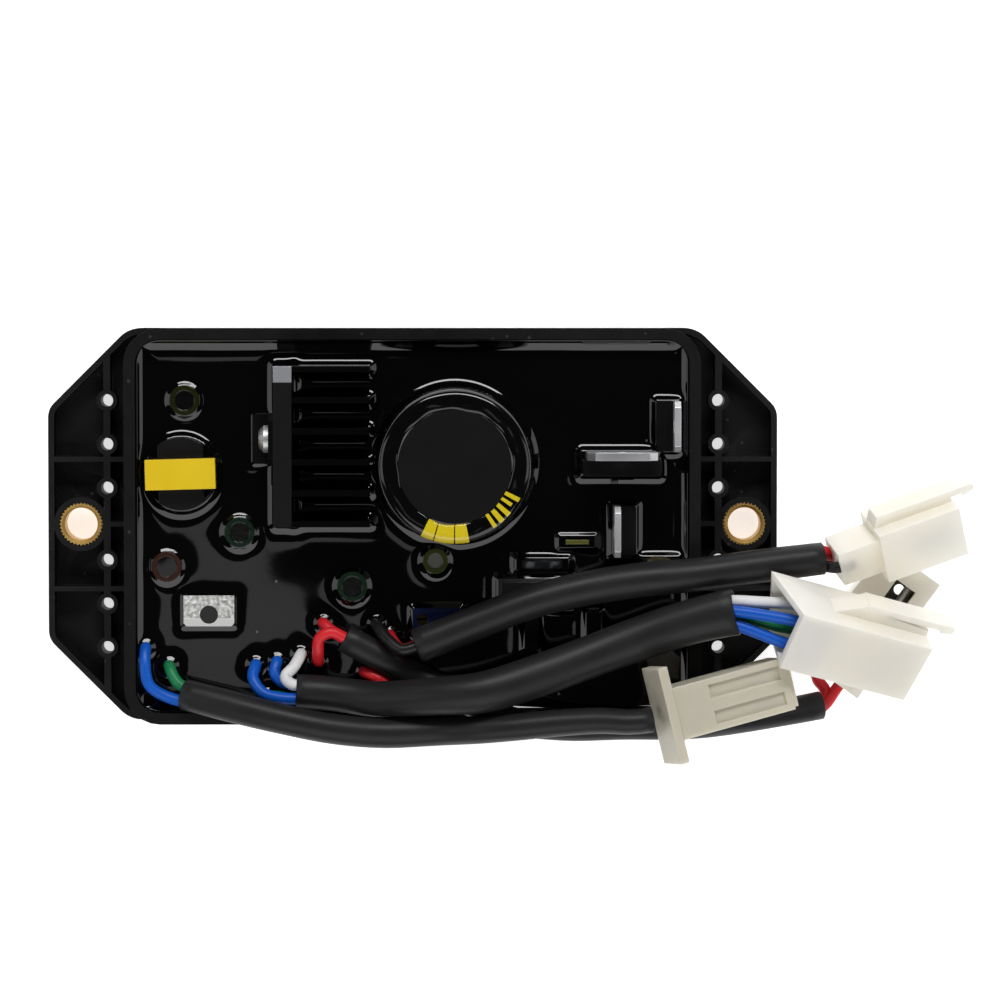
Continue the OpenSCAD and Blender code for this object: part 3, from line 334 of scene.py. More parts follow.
# Square feet: middle X and Y, half length, half width and climb, in millimetres too
resin_boxes = [(*foot_of(*nodes), climb) for climb, *nodes in (
    (0.4, "clamped_transistor_body", "clamped_transistor_frame"),
    (1.3, "side_transistor_body", "side_transistor_frame"),
    (1.3, "power_transistor_body", "power_transistor_frame"),
    (1.3, "centre_transistor_body", "centre_transistor_frame"),
    (1.1, "trimmer_body"), (1.1, "driver_transistor_1"), (1.1, "driver_transistor_2"), (1.2, "varistor"),
    (1.2, "disc_capacitor"), (1.2, "film_capacitor"), (0.8, "axial_resistor"))]
# The heat sink's plate and its fins
sink_x, sink_y, sink_long, sink_wide = foot_of("heat_sink")
plate_half, fin_half, fin_count = 1.8, 0.55, 6
plate_climb, fin_climb = 1.6, 1.2
fin_places = np.linspace(sink_y - sink_wide + fin_half, sink_y + sink_wide - fin_half, fin_count)
resin_boxes.append((sink_x - sink_long + plate_half, sink_y, plate_half, sink_wide, plate_climb))
resin_boxes += [(sink_x + plate_half, y, sink_long - plate_half, fin_half, fin_climb) for y in fin_places]
# Only the flat package's bare tab, beyond its body, has a foot
tab_x, tab_y, tab_long, tab_wide = foot_of("flat_transistor_frame")
body_y, body_wide = foot_of("flat_transistor_body")[1::2]
tab_low, tab_high = tab_y - tab_wide, body_y - body_wide
tab_climb = 0.5
resin_boxes.append((tab_x, (tab_low + tab_high) / 2, tab_long, (tab_high - tab_low) / 2, tab_climb))
wall_climb, wall_reach = 1.5, 1.3
foot_reach, reach_growth = 0.45, 0.35
wave_rise, ripple_rise = 0.03, 0.006


def resin_height(x, y):
    """Height of the resin: its level plus, for every foot and wall, a climb that falls off exponentially
    with the distance from it, over a reach that grows with the climb. The climbs are added as the root
    of their squares. A slow wave, a sine along X times a cosine along Y, and a slanting ripple of sine
    form come on top."""
    mm_x, mm_y = x * 1000, y * 1000
    feet = [(np.hypot(mm_x - middle_x, mm_y - middle_y) - radius, climb)
            for middle_x, middle_y, radius, climb in resin_rounds]
    for middle_x, middle_y, half_x, half_y, climb in resin_boxes:
        beyond_x = np.maximum(np.abs(mm_x - middle_x) - half_x, 0)
        beyond_y = np.maximum(np.abs(mm_y - middle_y) - half_y, 0)
        feet.append((np.hypot(beyond_x, beyond_y), climb))
    wall = 1000 * np.minimum(resin_half[0] - np.abs(x), resin_half[1] - np.abs(y))
    squares = (wall_climb * np.exp(-np.maximum(wall, 0) / wall_reach)) ** 2
    for away, climb in feet:
        squares += (climb * np.exp(-np.maximum(away, 0) / (foot_reach + reach_growth * climb))) ** 2
    waves = wave_rise * np.sin(0.17 * mm_x + 0.9) * np.cos(0.14 * mm_y - 0.4)
    ripples = ripple_rise * np.sin(0.43 * mm_x - 0.52 * mm_y)
    return resin_level + 0.001 * (np.sqrt(squares) + waves + ripples)


share_x, share_y = (np.linspace(-1, 1, int(2 * half / resin_step) + 1) for half in resin_half)
resin_x, resin_y = np.meshgrid(share_x * resin_half[0], share_y * resin_half[1], indexing="ij")
# In each corner the square of the grid is pressed into a quarter disc
corner_x = np.maximum(np.abs(resin_x) - (resin_half[0] - resin_corner), 0) / resin_corner
corner_y = np.maximum(np.abs(resin_y) - (resin_half[1] - resin_corner), 0) / resin_corner
resin_x -= np.sign(resin_x) * resin_corner * corner_x * (1 - np.sqrt(1 - corner_y ** 2 / 2))
resin_y -= np.sign(resin_y) * resin_corner * corner_y * (1 - np.sqrt(1 - corner_x ** 2 / 2))
resin_top = np.stack([resin_x, resin_y, resin_height(resin_x, resin_y)], axis=-1)
resin_index = np.arange(resin_x.size).reshape(resin_x.shape)
resin_quads = np.stack([resin_index[:-1, :-1], resin_index[1:, :-1], resin_index[1:, 1:],
                        resin_index[:-1, 1:]], axis=-1).reshape(-1, 4)
resin_rim = np.concatenate([resin_index[:, 0], resin_index[-1, 1:], resin_index[-2::-1, -1],
                            resin_index[0, -2:0:-1]])
resin_foot = resin_x.size + np.arange(len(resin_rim))
resin_points = resin_top.reshape(-1, 3)
resin_points = np.concatenate([resin_points, np.column_stack([
    resin_points[resin_rim, :2], np.full(len(resin_rim), resin_floor)])])
resin_walls = np.stack([resin_rim, resin_foot, np.roll(resin_foot, -1), np.roll(resin_rim, -1)], axis=-1)
resin = put_mesh("potting_resin_pour", resin_points, [resin_quads, resin_walls, resin_foot[None, ::-1]])
resin_material = grained("resin", "060607", (0.02, 0.07), 240.0, 0.012)
resin_tree, resin_shader, _ = inside(resin_material)
resin_dust = use_group(resin_tree, specks_group, Scale=520.0, Share=0.016, Size=0.15)["Mask"]
feed(resin_tree, resin_shader, Base_Color=blended(resin_tree, resin_dust, "050506", "5a5a58"))
finish_piece(resin, resin_material, "resin", "potting_resin")


# Large capacitor: an aluminium can in a shrunk glossy black sleeve whose rim folds in over the top,
# round a matt disc. Soldered to the board. A yellow strip and a plain printed mark cross the rim.
def skin(name, rows):
    """A closed surface through rows of points: each row is a ring, neighbours are joined by quads,
    and the first and last ring are closed by a fan round their middle."""
    count, sides = rows.shape[:2]
    index = np.arange(count * sides).reshape(count, sides)
    turn = np.roll(index, -1, axis=1)
    quads = np.stack([index[:-1], turn[:-1], turn[1:], index[1:]], axis=-1).reshape(-1, 4)
    first = np.stack([np.full(sides, count * sides), turn[0], index[0]], axis=-1)
    last = np.stack([np.full(sides, count * sides + 1), index[-1], turn[-1]], axis=-1)
    points = np.concatenate([rows.reshape(-1, 3), rows[:1].mean(1), rows[-1:].mean(1)])
    return put_mesh(name, points, [quads, first, last])


def turned_rows(profile, centre, sides):
    """Rings of a turned shape: each profile point (radius, height) goes round an upright axis."""
    profile = np.asarray(profile, float)
    angle = np.arange(sides) * 2 * np.pi / sides
    circle = np.stack([np.cos(angle), np.sin(angle), np.zeros(sides)], axis=-1)
    rows = profile[:, :1, None] * circle + np.array([0, 0, 1.0]) * profile[:, 1:, None]
    return rows + np.array([centre[0], centre[1], 0.0])


cap_centre = 0.001 * np.array(foot_of("capacitor_sleeve")[:2])
cap_sides = 160
# Radius and height along the sleeve, from its foot to the folded-in rim, in millimetres
cap_profile = 0.001 * np.array([
    [14.6, 6.2], [14.95, 6.4], [15.0, 12.0], [15.0, 20.0], [15.0, 28.0], [15.0, 34.2], [14.93, 34.75],
    [14.72, 35.25], [14.38, 35.64], [13.95, 35.88], [13.4, 35.98], [12.7, 35.98], [12.0, 35.94],
    [11.4, 35.86], [11.1, 35.72], [11.02, 35.5], [11.1, 35.25], [11.6, 35.1]])
cap_rows = turned_rows(cap_profile, cap_centre, cap_sides)
# The shrunk rim is not quite round: its inner edge wanders and its upper face sags a little
cap_angle = np.arange(cap_sides) * 2 * np.pi / cap_sides
cap_wander = (0.00018 * np.sin(3 * cap_angle + 0.4) + 0.00012 * np.sin(7 * cap_angle + 1.3)
              + 0.00007 * np.sin(13 * cap_angle))
rim_outer, rim_wide, rim_foot = 0.0146, 0.0032, 0.03
cap_rim = np.clip((rim_outer - cap_profile[:, 0]) / rim_wide, 0, 1) * (cap_profile[:, 1] > rim_foot)
cap_out = np.stack([np.cos(cap_angle), np.sin(cap_angle), np.zeros(cap_sides)], axis=-1)
cap_rows = cap_rows + cap_rim[:, None, None] * cap_wander[None, :, None] * cap_out
cap_rows[..., 2] += cap_rim[:, None] * 0.5 * cap_wander[::-1][None, :]
cap_sleeve = skin("capacitor_sleeve_wrap", cap_rows)

# Round place: radius and angle (0 to 1 for a whole turn from +X) about an upright axis.
polar_group, polar_in, polar_out = new_group(
    "round_place", {"Centre X": 0.0, "Centre Y": 0.0}, {"Radius": "Float", "Turn": "Float"})
polar_place = place_of(polar_group)
polar_x = maths(polar_group, "SUBTRACT", polar_place["X"], polar_in["Centre X"])
polar_y = maths(polar_group, "SUBTRACT", polar_place["Y"], polar_in["Centre Y"])
polar_flat = add_node(polar_group, "CombineXYZ", {0: polar_x, 1: polar_y}).outputs[0]
polar_radius = add_node(polar_group, "VectorMath", {0: polar_flat}, operation="LENGTH").outputs["Value"]
polar_angle = maths(polar_group, "ARCTAN2", polar_y, polar_x)
polar_turn = maths(polar_group, "FRACT", maths(polar_group, "MULTIPLY", polar_angle, 1 / (2 * math.pi)))
polar_group.links.new(polar_radius, polar_out["Radius"])
polar_group.links.new(polar_turn, polar_out["Turn"])

wrap_material = grained("capacitor_wrap", "0b0b0c", (0.06, 0.14), 500.0, 0.06)
wrap_tree, wrap_shader, _ = inside(wrap_material)
wrap_round = use_group(wrap_tree, polar_group, Centre_X=cap_centre[0], Centre_Y=cap_centre[1])
# A strip in three lengths and a printed mark of five plain strokes, the fourth a short one: where each
# starts and ends in degrees, and between which radii it lies
strip_rim, stroke_rim, short_rim = (0.0112, 0.0156), (0.0106, 0.0140), (0.0104, 0.0132)
wrap_print = 0.0
for start, end, rim in (
        (244.0, 253.3, strip_rim), (254.5, 269.3, strip_rim), (270.5, 281.0, strip_rim),
        (302.4, 305.6, stroke_rim), (308.8, 313.2, stroke_rim), (316.5, 320.5, stroke_rim),
        (324.5, 327.5, short_rim), (330.7, 334.3, stroke_rim)):
    arc_mask = band(wrap_tree, wrap_round["Turn"], start / 360, end / 360, 0.0006)
    ring_mask = band(wrap_tree, wrap_round["Radius"], *rim, 0.00006)
    mark = maths(wrap_tree, "MULTIPLY", arc_mask, ring_mask)
    wrap_print = maths(wrap_tree, "MAXIMUM", wrap_print, mark)
print_low, print_high = 0.033, 0.04
wrap_above = band(wrap_tree, place_of(wrap_tree)["Z"], print_low, print_high, 0.0002)
wrap_print = maths(wrap_tree, "MULTIPLY", wrap_print, wrap_above)
feed(wrap_tree, wrap_shader, Base_Color=blended(wrap_tree, wrap_print, "070708", "d2bc22"))
finish_piece(cap_sleeve, wrap_material, "capacitor_wrap", "capacitor_sleeve")

end_material = grained("capacitor_end", ("080808", "0f0f10"), 0.6, 1400.0, 0.12, Specular_IOR_Level=0.12)
finish_piece(softened("capacitor_disc", 0.0001), end_material, "capacitor_end", "capacitor_disc")
can_material = grained("can_aluminium", "b8b8ba", (0.28, 0.45), 900.0, Metallic=1.0)
finish_piece(frame["nodes"]["capacitor_can"], can_material, "bare_metal")

# Heat sink: a black-anodised aluminium extrusion, a thick plate with six fins, soldered by its feet.
# The plate's sawn +Y end is bare; a screw clamps a power package to its outer face.
sink_material = grained("anodised", ("0a0a0b", "151516"), 0.42, 1200.0, 0.12, Specular_IOR_Level=0.35)
sink_tree, sink_shader, sink_plate_colour = inside(sink_material)
sink_place = place_of(sink_tree)
sink_left, sink_end = 0.001 * (sink_x - sink_long), 0.001 * (sink_y + sink_wide)
sink_top = np.array(frame["nodes"]["heat_sink"].bound_box)[:, 2].max()
sink_bare_long = 0.0029
plate_low, plate_high = sink_left - 0.0001, sink_left + 0.002 * plate_half - 0.0001
sink_on_plate = band(sink_tree, sink_place["X"], plate_low, plate_high, 0.00015)
sink_at_end = band(sink_tree, sink_place["Y"], sink_end - sink_bare_long, sink_end + 0.0003, 0.0003)
sink_at_top = band(sink_tree, sink_place["Z"], sink_top - 0.0003, sink_top + 0.0009, 0.0002)
sink_bare = maths(sink_tree, "MULTIPLY", sink_on_plate, sink_at_end)
sink_bare = maths(sink_tree, "MULTIPLY", sink_bare, sink_at_top)
sink_plain = blended(sink_tree, sink_on_plate, "030303", sink_plate_colour)
sink_metal = maths(sink_tree, "MAXIMUM", spread(sink_tree, sink_on_plate, 0.8, 0.3),
                   spread(sink_tree, sink_bare, 0.0, 0.9))
sink_colour = blended(sink_tree, sink_bare, sink_plain, "c4c6ca")
feed(sink_tree, sink_shader, Base_Color=sink_colour, Metallic=sink_metal)
finish_piece(softened("heat_sink", 0.00015), sink_material, "anodised", "heat_sink")
metal_material = grained("bare_metal", ("b4b5b7", "ececee"), (0.36, 0.56), 1100.0, 0.25, Metallic=1.0)
finish_piece(softened("heat_sink_screw", 0.00012), metal_material, "bare_metal", "heat_sink_screw")

# Power packages: epoxy bodies moulded on tinned copper frames, standing in the resin on their legs.
# The flat one lies level with the resin, so its tab shows bare with its screw hole.
pack_material = grained("package", ("050506", "0a0a0b"), (0.38, 0.6), 2200.0, 0.2, Specular_IOR_Level=0.12)
# The flat tab is dull tin, hammered towards its body and smooth over its outer third
tab_material, tab_tree, tab_shader = new_material("tinned_tab", "d8d8d6", Metallic=0.85, Roughness=0.5)
tab_smooth = 0.0018
tab_rough = band(tab_tree, place_of(tab_tree)["Y"], 0.001 * tab_low + tab_smooth, 0.0, 0.0003)
tab_cells = add_node(tab_tree, "TexNoise", {
    "Vector": add_node(tab_tree, "TexCoord").outputs["Object"], "Scale": 1500.0, "Detail": 2.0}).outputs[0]
tab_bump = add_node(tab_tree, "Bump", {
    "Height": maths(tab_tree, "MULTIPLY", tab_cells, tab_rough), "Strength": 0.9, "Distance": 0.0004})
tab_spots = add_node(tab_tree, "Math", {0: spread(tab_tree, tab_cells, -0.6, 1.5), 1: tab_rough},
                     operation="MULTIPLY", use_clamp=True).outputs[0]
tab_colour = blended(tab_tree, tab_spots, "f4f4f2", "8e8d8a")
feed(tab_tree, tab_shader, Base_Color=tab_colour, Normal=tab_bump.outputs[0])
for stem, frame_material, frame_slot in (
        ("clamped", pack_material, "package"), ("flat", tab_material, "bare_metal"),
        ("side", metal_material, "bare_metal"), ("power", metal_material, "bare_metal"),
        ("centre", metal_material, "bare_metal")):
    body_node, frame_node = stem + "_transistor_body", stem + "_transistor_frame"
    finish_piece(softened(body_node, 0.0002), pack_material, "package", body_node)
    finish_piece(softened(frame_node, 0.00012), frame_material, frame_slot, frame_node)
for node in ("driver_transistor_1", "driver_transistor_2"):
    finish_piece(softened(node, 0.0002), pack_material, "package", node)

# Transformer: a ferrite core on a round bobbin, its winding lacquered olive, tied by yellow tape.
# It stands on the board by its pins; only its top shows above the resin.
ferrite_material = grained("ferrite", ("0a0a0b", "161618"), 0.6, 2000.0, 0.3, Specular_IOR_Level=0.2)
finish_piece(softened("transformer_core", 0.0002), ferrite_material, "package", "transformer_core")
bobbin_material = grained("bobbin", "101011", (0.2, 0.42), 900.0)
finish_piece(softened("transformer_bobbin", 0.00015), bobbin_material, "package", "transformer_bobbin")
winding_material = grained("olive", ("26240c", "4d4a1c"), 0.35, 800.0, 0.2)
finish_piece(frame["nodes"]["transformer_winding"], winding_material, "olive")
tape_material = grained("yellow_tape", ("dcb810", "f0d02c"), 0.32, 700.0, 0.1)
finish_piece(softened("transformer_tape", 0.00012), tape_material, "yellow_tape", "transformer_tape")

# Small capacitors: aluminium cans in shrunk sleeves, standing just clear of the resin that wets them.
# Each sleeve's rim shows as a coloured ring round the can's top.
# Each one's node, the radius where its rim begins, the rim's colour and the top's
for node, ring, rim_colour, top_colour in (
        ("small_capacitor_1", 0.0020, "1c1e08", "050506"), ("small_capacitor_2", 0.0020, "082014", "060706"),
        ("small_capacitor_3", 0.0020, "2e150a", "070605"), ("small_capacitor_4", 0.0020, "0a2613", "060706"),
        ("small_capacitor_5", 0.0016, "323a12", "5c5c56")):
    small_material = grained(node + "_wrap", rim_colour, (0.1, 0.24), 700.0, 0.08)
    small_tree, small_shader, _ = inside(small_material)
    small_x, small_y = 0.001 * np.array(foot_of(node)[:2])
    small_round = use_group(small_tree, polar_group, Centre_X=small_x, Centre_Y=small_y)
    small_rim = band(small_tree, small_round["Radius"], ring, 0.01, 0.0002)
    feed(small_tree, small_shader, Base_Color=blended(small_tree, small_rim, top_colour, rim_colour))
    finish_piece(softened(node, 0.00025), small_material, "brown_wrap", node)

# Trimmer: a blue moulded multi-turn resistor with a slotted brass screw, soldered by three pins.
# It is glazed over by the resin, so its screw stays where it was set.
# Painted shade: the blue body and the brass screw are darkened to the tone they take in shade under the
# two-way sleeve
trim_material = grained("trimmer_blue", ("05123a", "091f56"), 0.3, 1500.0, 0.1)
finish_piece(softened("trimmer_body", 0.00015), trim_material, "trimmer_blue", "trimmer_body")
brass_shade_material = grained("brass_in_painted_shade", ("2c220e", "4a3a1c"), 0.5, 1500.0, Metallic=0.8)
finish_piece(softened("trimmer_screw", 0.00008), brass_shade_material, "brass", "trimmer_screw")

# Dipped and boxed parts: a varistor, a ceramic disc, a boxed film capacitor and a lacquered resistor.
# All are soldered by their wires and stand half out of the resin.
for node, dark, light, slot, rough in (
        ("varistor", "121416", "1f2226", "package", 0.25),
        ("disc_capacitor", "2a2410", "3c3418", "olive", 0.3),
        ("film_capacitor", "131315", "222224", "package", 0.4),
        ("axial_resistor", "4a4a14", "6b6a22", "olive", 0.25)):
    dip_material = grained(node + "_coat", (dark, light), rough, 1000.0, 0.15)
    finish_piece(softened(node, 0.0002), dip_material, slot, node)


# Wires: stranded copper in soft coloured PVC, 2.3 mm thick, soldered to the board. Most rise from the
# resin, run inside a sleeve and come out of it into a connector, so one piece holds both visible lengths.
def distance_along(points):
    """Distance from the first of a row of points to each of them: the summed lengths of the steps."""
    return np.concatenate([[0], np.cumsum(np.linalg.norm(np.diff(points, axis=0), axis=1))])


def smooth_line(points, count):
    """Evenly spaced points on a cubic line through the given ones: each stretch is the Hermite cubic
    whose end slopes are those of the parabola through three neighbours."""
    knots = distance_along(points)
    slope = np.gradient(points, knots, axis=0, edge_order=2)
    along = np.linspace(0, knots[-1], 12 * count)
    near = np.clip(np.searchsorted(knots, along, side="right") - 1, 0, len(points) - 2)
    far = near + 1
    span = (knots[far] - knots[near])[:, None]
    share = (along - knots[near])[:, None] / span
    rest = 1 - share
    line = ((1 + 2 * share) * rest ** 2 * points[near] + share * rest ** 2 * span * slope[near]
            + share ** 2 * (1 + 2 * rest) * points[far] - share ** 2 * rest * span * slope[far])
    run = distance_along(line)
    even = np.linspace(0, run[-1], count)
    return np.stack([np.interp(even, run, line[:, axis]) for axis in range(3)], axis=-1)


def tube_rows(line, wide, high, sides):
    """Rings carried along a line: at each point an ellipse, wide across and high in the plane that
    is square to the line. The frame leans on the first axis that the line never runs along."""
    way = np.gradient(line, axis=0)
    way /= np.linalg.norm(way, axis=1, keepdims=True)
    leans = np.array([[0, 0, 1.0], [0, 1.0, 0], [1.0, 0, 0], [0.6, 0.8, 0], [0.8, -0.6, 0]])
    along = np.abs(way @ leans.T).max(0)
    lean = leans[np.argmax(along <= max(0.85, along.min()))]
    across = np.cross(lean, way)
    across /= np.linalg.norm(across, axis=1, keepdims=True)
    over = np.cross(way, across)
    angle = np.arange(sides) * 2 * np.pi / sides
    wide = np.broadcast_to(wide, len(line))[:, None, None]
    high = np.broadcast_to(high, len(line))[:, None, None]
    return (line[:, None] + wide * np.cos(angle)[None, :, None] * across[:, None]
            + high * np.sin(angle)[None, :, None] * over[:, None])


def joined(name, parts):
    """One mesh from several closed surfaces."""
    work = bmesh.new()
    for part in parts:
        work.from_mesh(part.data)
        old = part.data
        bpy.data.objects.remove(part)
        bpy.data.meshes.remove(old)
    mesh = bpy.data.meshes.new(name)
    work.to_mesh(mesh)
    work.free()
    made = bpy.data.objects.new(name, mesh)
    scene.collection.objects.link(made)
    return made


wire_radius = 0.00115
wire_steps, wire_sides = 36, 16
# Route points of each wire's lengths, in millimetres
wire_runs = {
    "wire_blue_flange": ("wire_blue", [
        [[-52.7, -24, 13], [-52.7, -24.2, 15.9], [-52.7, -26.6, 17.6], [-51.8, -31.2, 18],
         [-47.9, -33.7, 17.8], [-45.1, -34.4, 18.4], [-41.3, -35.2, 19.5]]]),
    "wire_green_flange": ("wire_green", [
        [[-48, -27.6, 13], [-48, -27.7, 15.7], [-45.6, -31.2, 18.1], [-44.5, -31.6, 18.4],
         [-40.6, -32.5, 19.5]]]),
    "wire_blue_left": ("wire_blue", [
        [[-31, -27.4, 13], [-31, -27.5, 15.7], [-31.4, -29.8, 18], [-29.4, -32.6, 19.4],
         [-25.9, -33.6, 19.6], [-22.9, -33.8, 19.7], [-18.9, -34.1, 19.8]],
        [[57.5, -16.6, 27], [61.5, -16, 27.9], [67.7, -16.6, 28.7], [73, -17.5, 29.2],
         [77.3, -18.4, 29.4], [81, -19.3, 28.4]]]),
    "wire_blue_right": ("wire_blue", [
        [[-26.8, -26.8, 13], [-26.8, -26.9, 15.5], [-27.2, -29, 16.7], [-25.6, -30.8, 16.8],
         [-22.7, -31, 16.9], [-18.7, -31.3, 17]],
        [[58.4, -18.6, 26.7], [62.9, -18.8, 27.3], [67.9, -20.5, 27.4], [72, -22.1, 27.2],
         [75.2, -23, 26.9], [78.8, -23.8, 25.9]]]),
    "wire_white": ("wire_white", [
        [[-22.2, -25.5, 13], [-22.2, -25.6, 16.5], [-23.4, -27.6, 18.8], [-25, -29.6, 19.6],
         [-23.7, -30.9, 19.7], [-21.5, -31.1, 19.7], [-18.7, -31.3, 19.8]],
        [[57.5, -14.6, 25.4], [61.8, -14.1, 26.4], [67.8, -14.3, 26.8], [72, -14.6, 26.2],
         [76.5, -15.3, 25], [80.2, -16.3, 23.7]]]),
    "wire_green": ("wire_green", [
        [[-28.6, -33.6, 13], [-28.5, -33.6, 15.1], [-25.8, -33.6, 16.8], [-22.9, -33.8, 16.9],
         [-18.9, -34, 17]],
        [[58.9, -17.4, 24.3], [62.7, -17.4, 25], [67.5, -18.2, 25], [71.5, -19.2, 24.2],
         [74.3, -19.8, 22.8], [78, -20.9, 21.2]]]),
    "wire_red_plug": ("wire_red", [
        [[-4.4, -21.6, 13], [-4.4, -21.7, 15.5], [-1.8, -24.1, 19.5], [1.1, -23.2, 19.6],
         [4.9, -22, 19.8]],
        [[76.2, -4.9, 19.9], [80, -4.6, 19.5], [81.3, -5.1, 18.5], [82.4, -5.9, 17.2],
         [85.2, -4.9, 16.7]]]),
    "wire_black_plug": ("sleeving", [
        [[-7, -19.4, 13], [-7, -19.5, 17.5], [-4.6, -22.2, 20.9], [-1.9, -23.9, 22.6],
         [0.9, -23.2, 22.8], [4.7, -22, 23]],
        [[76.4, -8.1, 19.9], [80.2, -7.6, 19.5], [81.6, -7.8, 20.2], [83.2, -7.9, 21.2],
         [86.5, -6.8, 20.9]]]),
    "wire_red_upper": ("wire_red", [
        [[-18.6, -26.8, 13], [-18.6, -26.7, 15.5], [-18.6, -24.6, 18.4], [-18.2, -21.8, 19.4],
         [-16, -20.7, 19.5], [-13.3, -21.9, 19.3], [-9.7, -23.8, 19.1]],
        [[77, -38.2, 9.2], [80.8, -37.2, 7.9], [82.4, -36, 6.9], [84.5, -33.3, 5.2],
         [86.9, -30, 5.1]]]),
    "wire_red_lower": ("wire_red", [
        [[-17.6, -19.2, 13], [-17.5, -19.3, 15.6], [-16.1, -20.5, 16.8], [-13.5, -21.9, 16.7],
         [-9.8, -23.8, 16.5]],
        [[77, -36.6, 8], [80.9, -35.8, 6.7], [82.4, -34.9, 5.5], [82.3, -33.2, 4.6], [80.9, -31.3, 4.8],
         [80.7, -29.5, 5], [82.6, -26.8, 5.1]]]),
    "wire_jumper": ("wire_red", [
        [[-9.4, -28.9, 13], [-9.4, -28.9, 15.6], [-7.6, -29.6, 17], [-5.8, -30.5, 17],
         [-4, -31.3, 15.6], [-4, -31.3, 13]]])}
wire_materials = {}
for slot, dark, light in (("wire_blue", "0648ac", "0f62cc"), ("wire_green", "12603a", "1c8a52"),
                          ("wire_white", "d6d6d8", "f0f0f0"), ("wire_red", "bd1a22", "e22c34"),
                          ("sleeving", "141415", "1e1e20")):
    wire_materials[slot] = grained(slot, (dark, light), (0.3, 0.48), 900.0, 0.08, Specular_IOR_Level=0.3)
for node, (slot, runs) in wire_runs.items():
    lines = [smooth_line(0.001 * np.array(run), wire_steps) for run in runs]
    lengths = [skin(node, tube_rows(line, wire_radius, wire_radius, wire_sides)) for line in lines]
    finish_piece(joined(node + "_pvc", lengths), wire_materials[slot], slot, node)


# Sleeves: black flexible PVC tubing pushed over each bundle of wires, cut square and left open.
# They lie over the tray's rim on each other and stiffen the leads up to the connectors.
def sleeve_piece(name, line, wide, high, wall=0.0006, deep=4, sides=40):
    """A hollow tube: the outer rings along the line, a rounded lip at each cut end, and the bore's
    rings back inside for a few steps, where it is closed out of sight behind the wires."""
    outer = tube_rows(line, wide, high, sides)
    inner = tube_rows(line, wide - wall, high - wall, sides)
    way = np.gradient(line, axis=0)
    way /= np.linalg.norm(way, axis=1, keepdims=True)
    lips = tube_rows(line, wide - wall / 2, high - wall / 2, sides)
    lip_reach = 0.35 * wall
    rows = np.concatenate([
        inner[deep::-1], lips[:1] - lip_reach * way[:1, None], outer,
        lips[-1:] + lip_reach * way[-1:, None], inner[:-deep - 2:-1]])
    return skin(name, rows)


sleeve_material = grained(
    "sleeving_black", ("1b1b1c", "252527"), (0.34, 0.5), 1300.0, 0.12, Specular_IOR_Level=0.22)
sleeve_steps = 40
# A slight swell and flattening runs along each sleeve: its share of the size and its rate
swell, swell_rate = 0.012, 190
# Each sleeve's thickness, and its route points with the half width and half height there in millimetres
sleeve_routes = {
    "sleeve_flange": (0.0058, [
        [-44.8, -33, 18.4, 3.1, 2.8], [-36, -35, 21, 3.1, 2.9], [-26, -37.3, 23, 3.0, 2.9],
        [-16, -39.3, 23.2, 3.0, 2.9], [-6, -40.3, 22.4, 2.9, 2.8], [4, -40, 22.2, 2.85, 2.8],
        [14, -39.3, 25.6, 2.75, 2.8], [20, -38.7, 27.2, 2.65, 2.8], [28, -37.8, 28.2, 2.6, 2.8],
        [37, -37.2, 29.4, 2.55, 2.8], [43.6, -37.3, 30.6, 2.5, 2.8], [46.6, -36.9, 30.4, 2.5, 2.7]]),
    "sleeve_four_way": (0.0078, [
        [-22.8, -32.4, 18.3, 3.4, 3.3], [-14.4, -33, 18.6, 3.4, 3.3], [-8, -33.7, 20.4, 3.5, 3.5],
        [-2, -33.4, 22.8, 3.6, 3.6], [5, -32.7, 25.4, 3.8, 3.7], [13.3, -31.9, 27.4, 4.0, 3.8],
        [23.2, -29.2, 25.9, 4.2, 3.8], [33.6, -25.6, 24.2, 4.25, 3.8], [45.1, -21.4, 23.8, 4.3, 3.8],
        [54, -18.4, 25, 4.4, 3.7], [63, -16.2, 26.6, 4.7, 3.4]]),
    "sleeve_two_way": (0.007, [
        [1, -23.2, 21.2, 3.4, 3.4], [5.6, -21.4, 21.4, 3.4, 3.45], [13.3, -18.3, 21.6, 3.4, 3.5],
        [23.2, -14.6, 21.8, 3.4, 3.5], [33.6, -12, 21.9, 3.4, 3.45], [45.1, -10.2, 21.9, 3.4, 3.45],
        [54, -9.4, 21.9, 3.35, 3.4], [66, -7.9, 21, 3.3, 3.4], [80.6, -6.2, 19.4, 3.2, 3.3]]),
    "sleeve_socket": (0.0054, [
        [-13.4, -21.9, 18, 2.8, 2.6], [-3.5, -27.2, 17.4, 2.8, 2.6], [6, -32, 17.6, 2.7, 2.7],
        [13, -35.3, 20.5, 2.7, 2.7], [19, -37.8, 21.1, 2.7, 2.7], [29, -39.2, 21, 2.7, 2.7],
        [42, -39.1, 20.9, 2.7, 2.7], [53, -39, 21, 2.7, 2.6], [57, -38.9, 19.4, 2.7, 2.6],
        [62, -38.7, 15.8, 2.7, 2.7], [72, -37.6, 11, 2.75, 2.7], [81.2, -36.2, 7.8, 2.8, 2.6]])}
sleeve_lines = {}
for node, (_, route) in sleeve_routes.items():
    route = 0.001 * np.array(route)
    line = smooth_line(route[:, :3], sleeve_steps)
    reach = distance_along(route[:, :3])
    even = np.linspace(0, reach[-1], sleeve_steps)
    wide = np.interp(even, reach, route[:, 3]) * (1 + swell * np.sin(even * swell_rate))
    high = np.interp(even, reach, route[:, 4]) * (1 - swell * np.sin(even * swell_rate))
    sleeve_lines[node] = line
    finish_piece(
        sleeve_piece(node + "_tube", line, wide, high), sleeve_material, "sleeving", node)

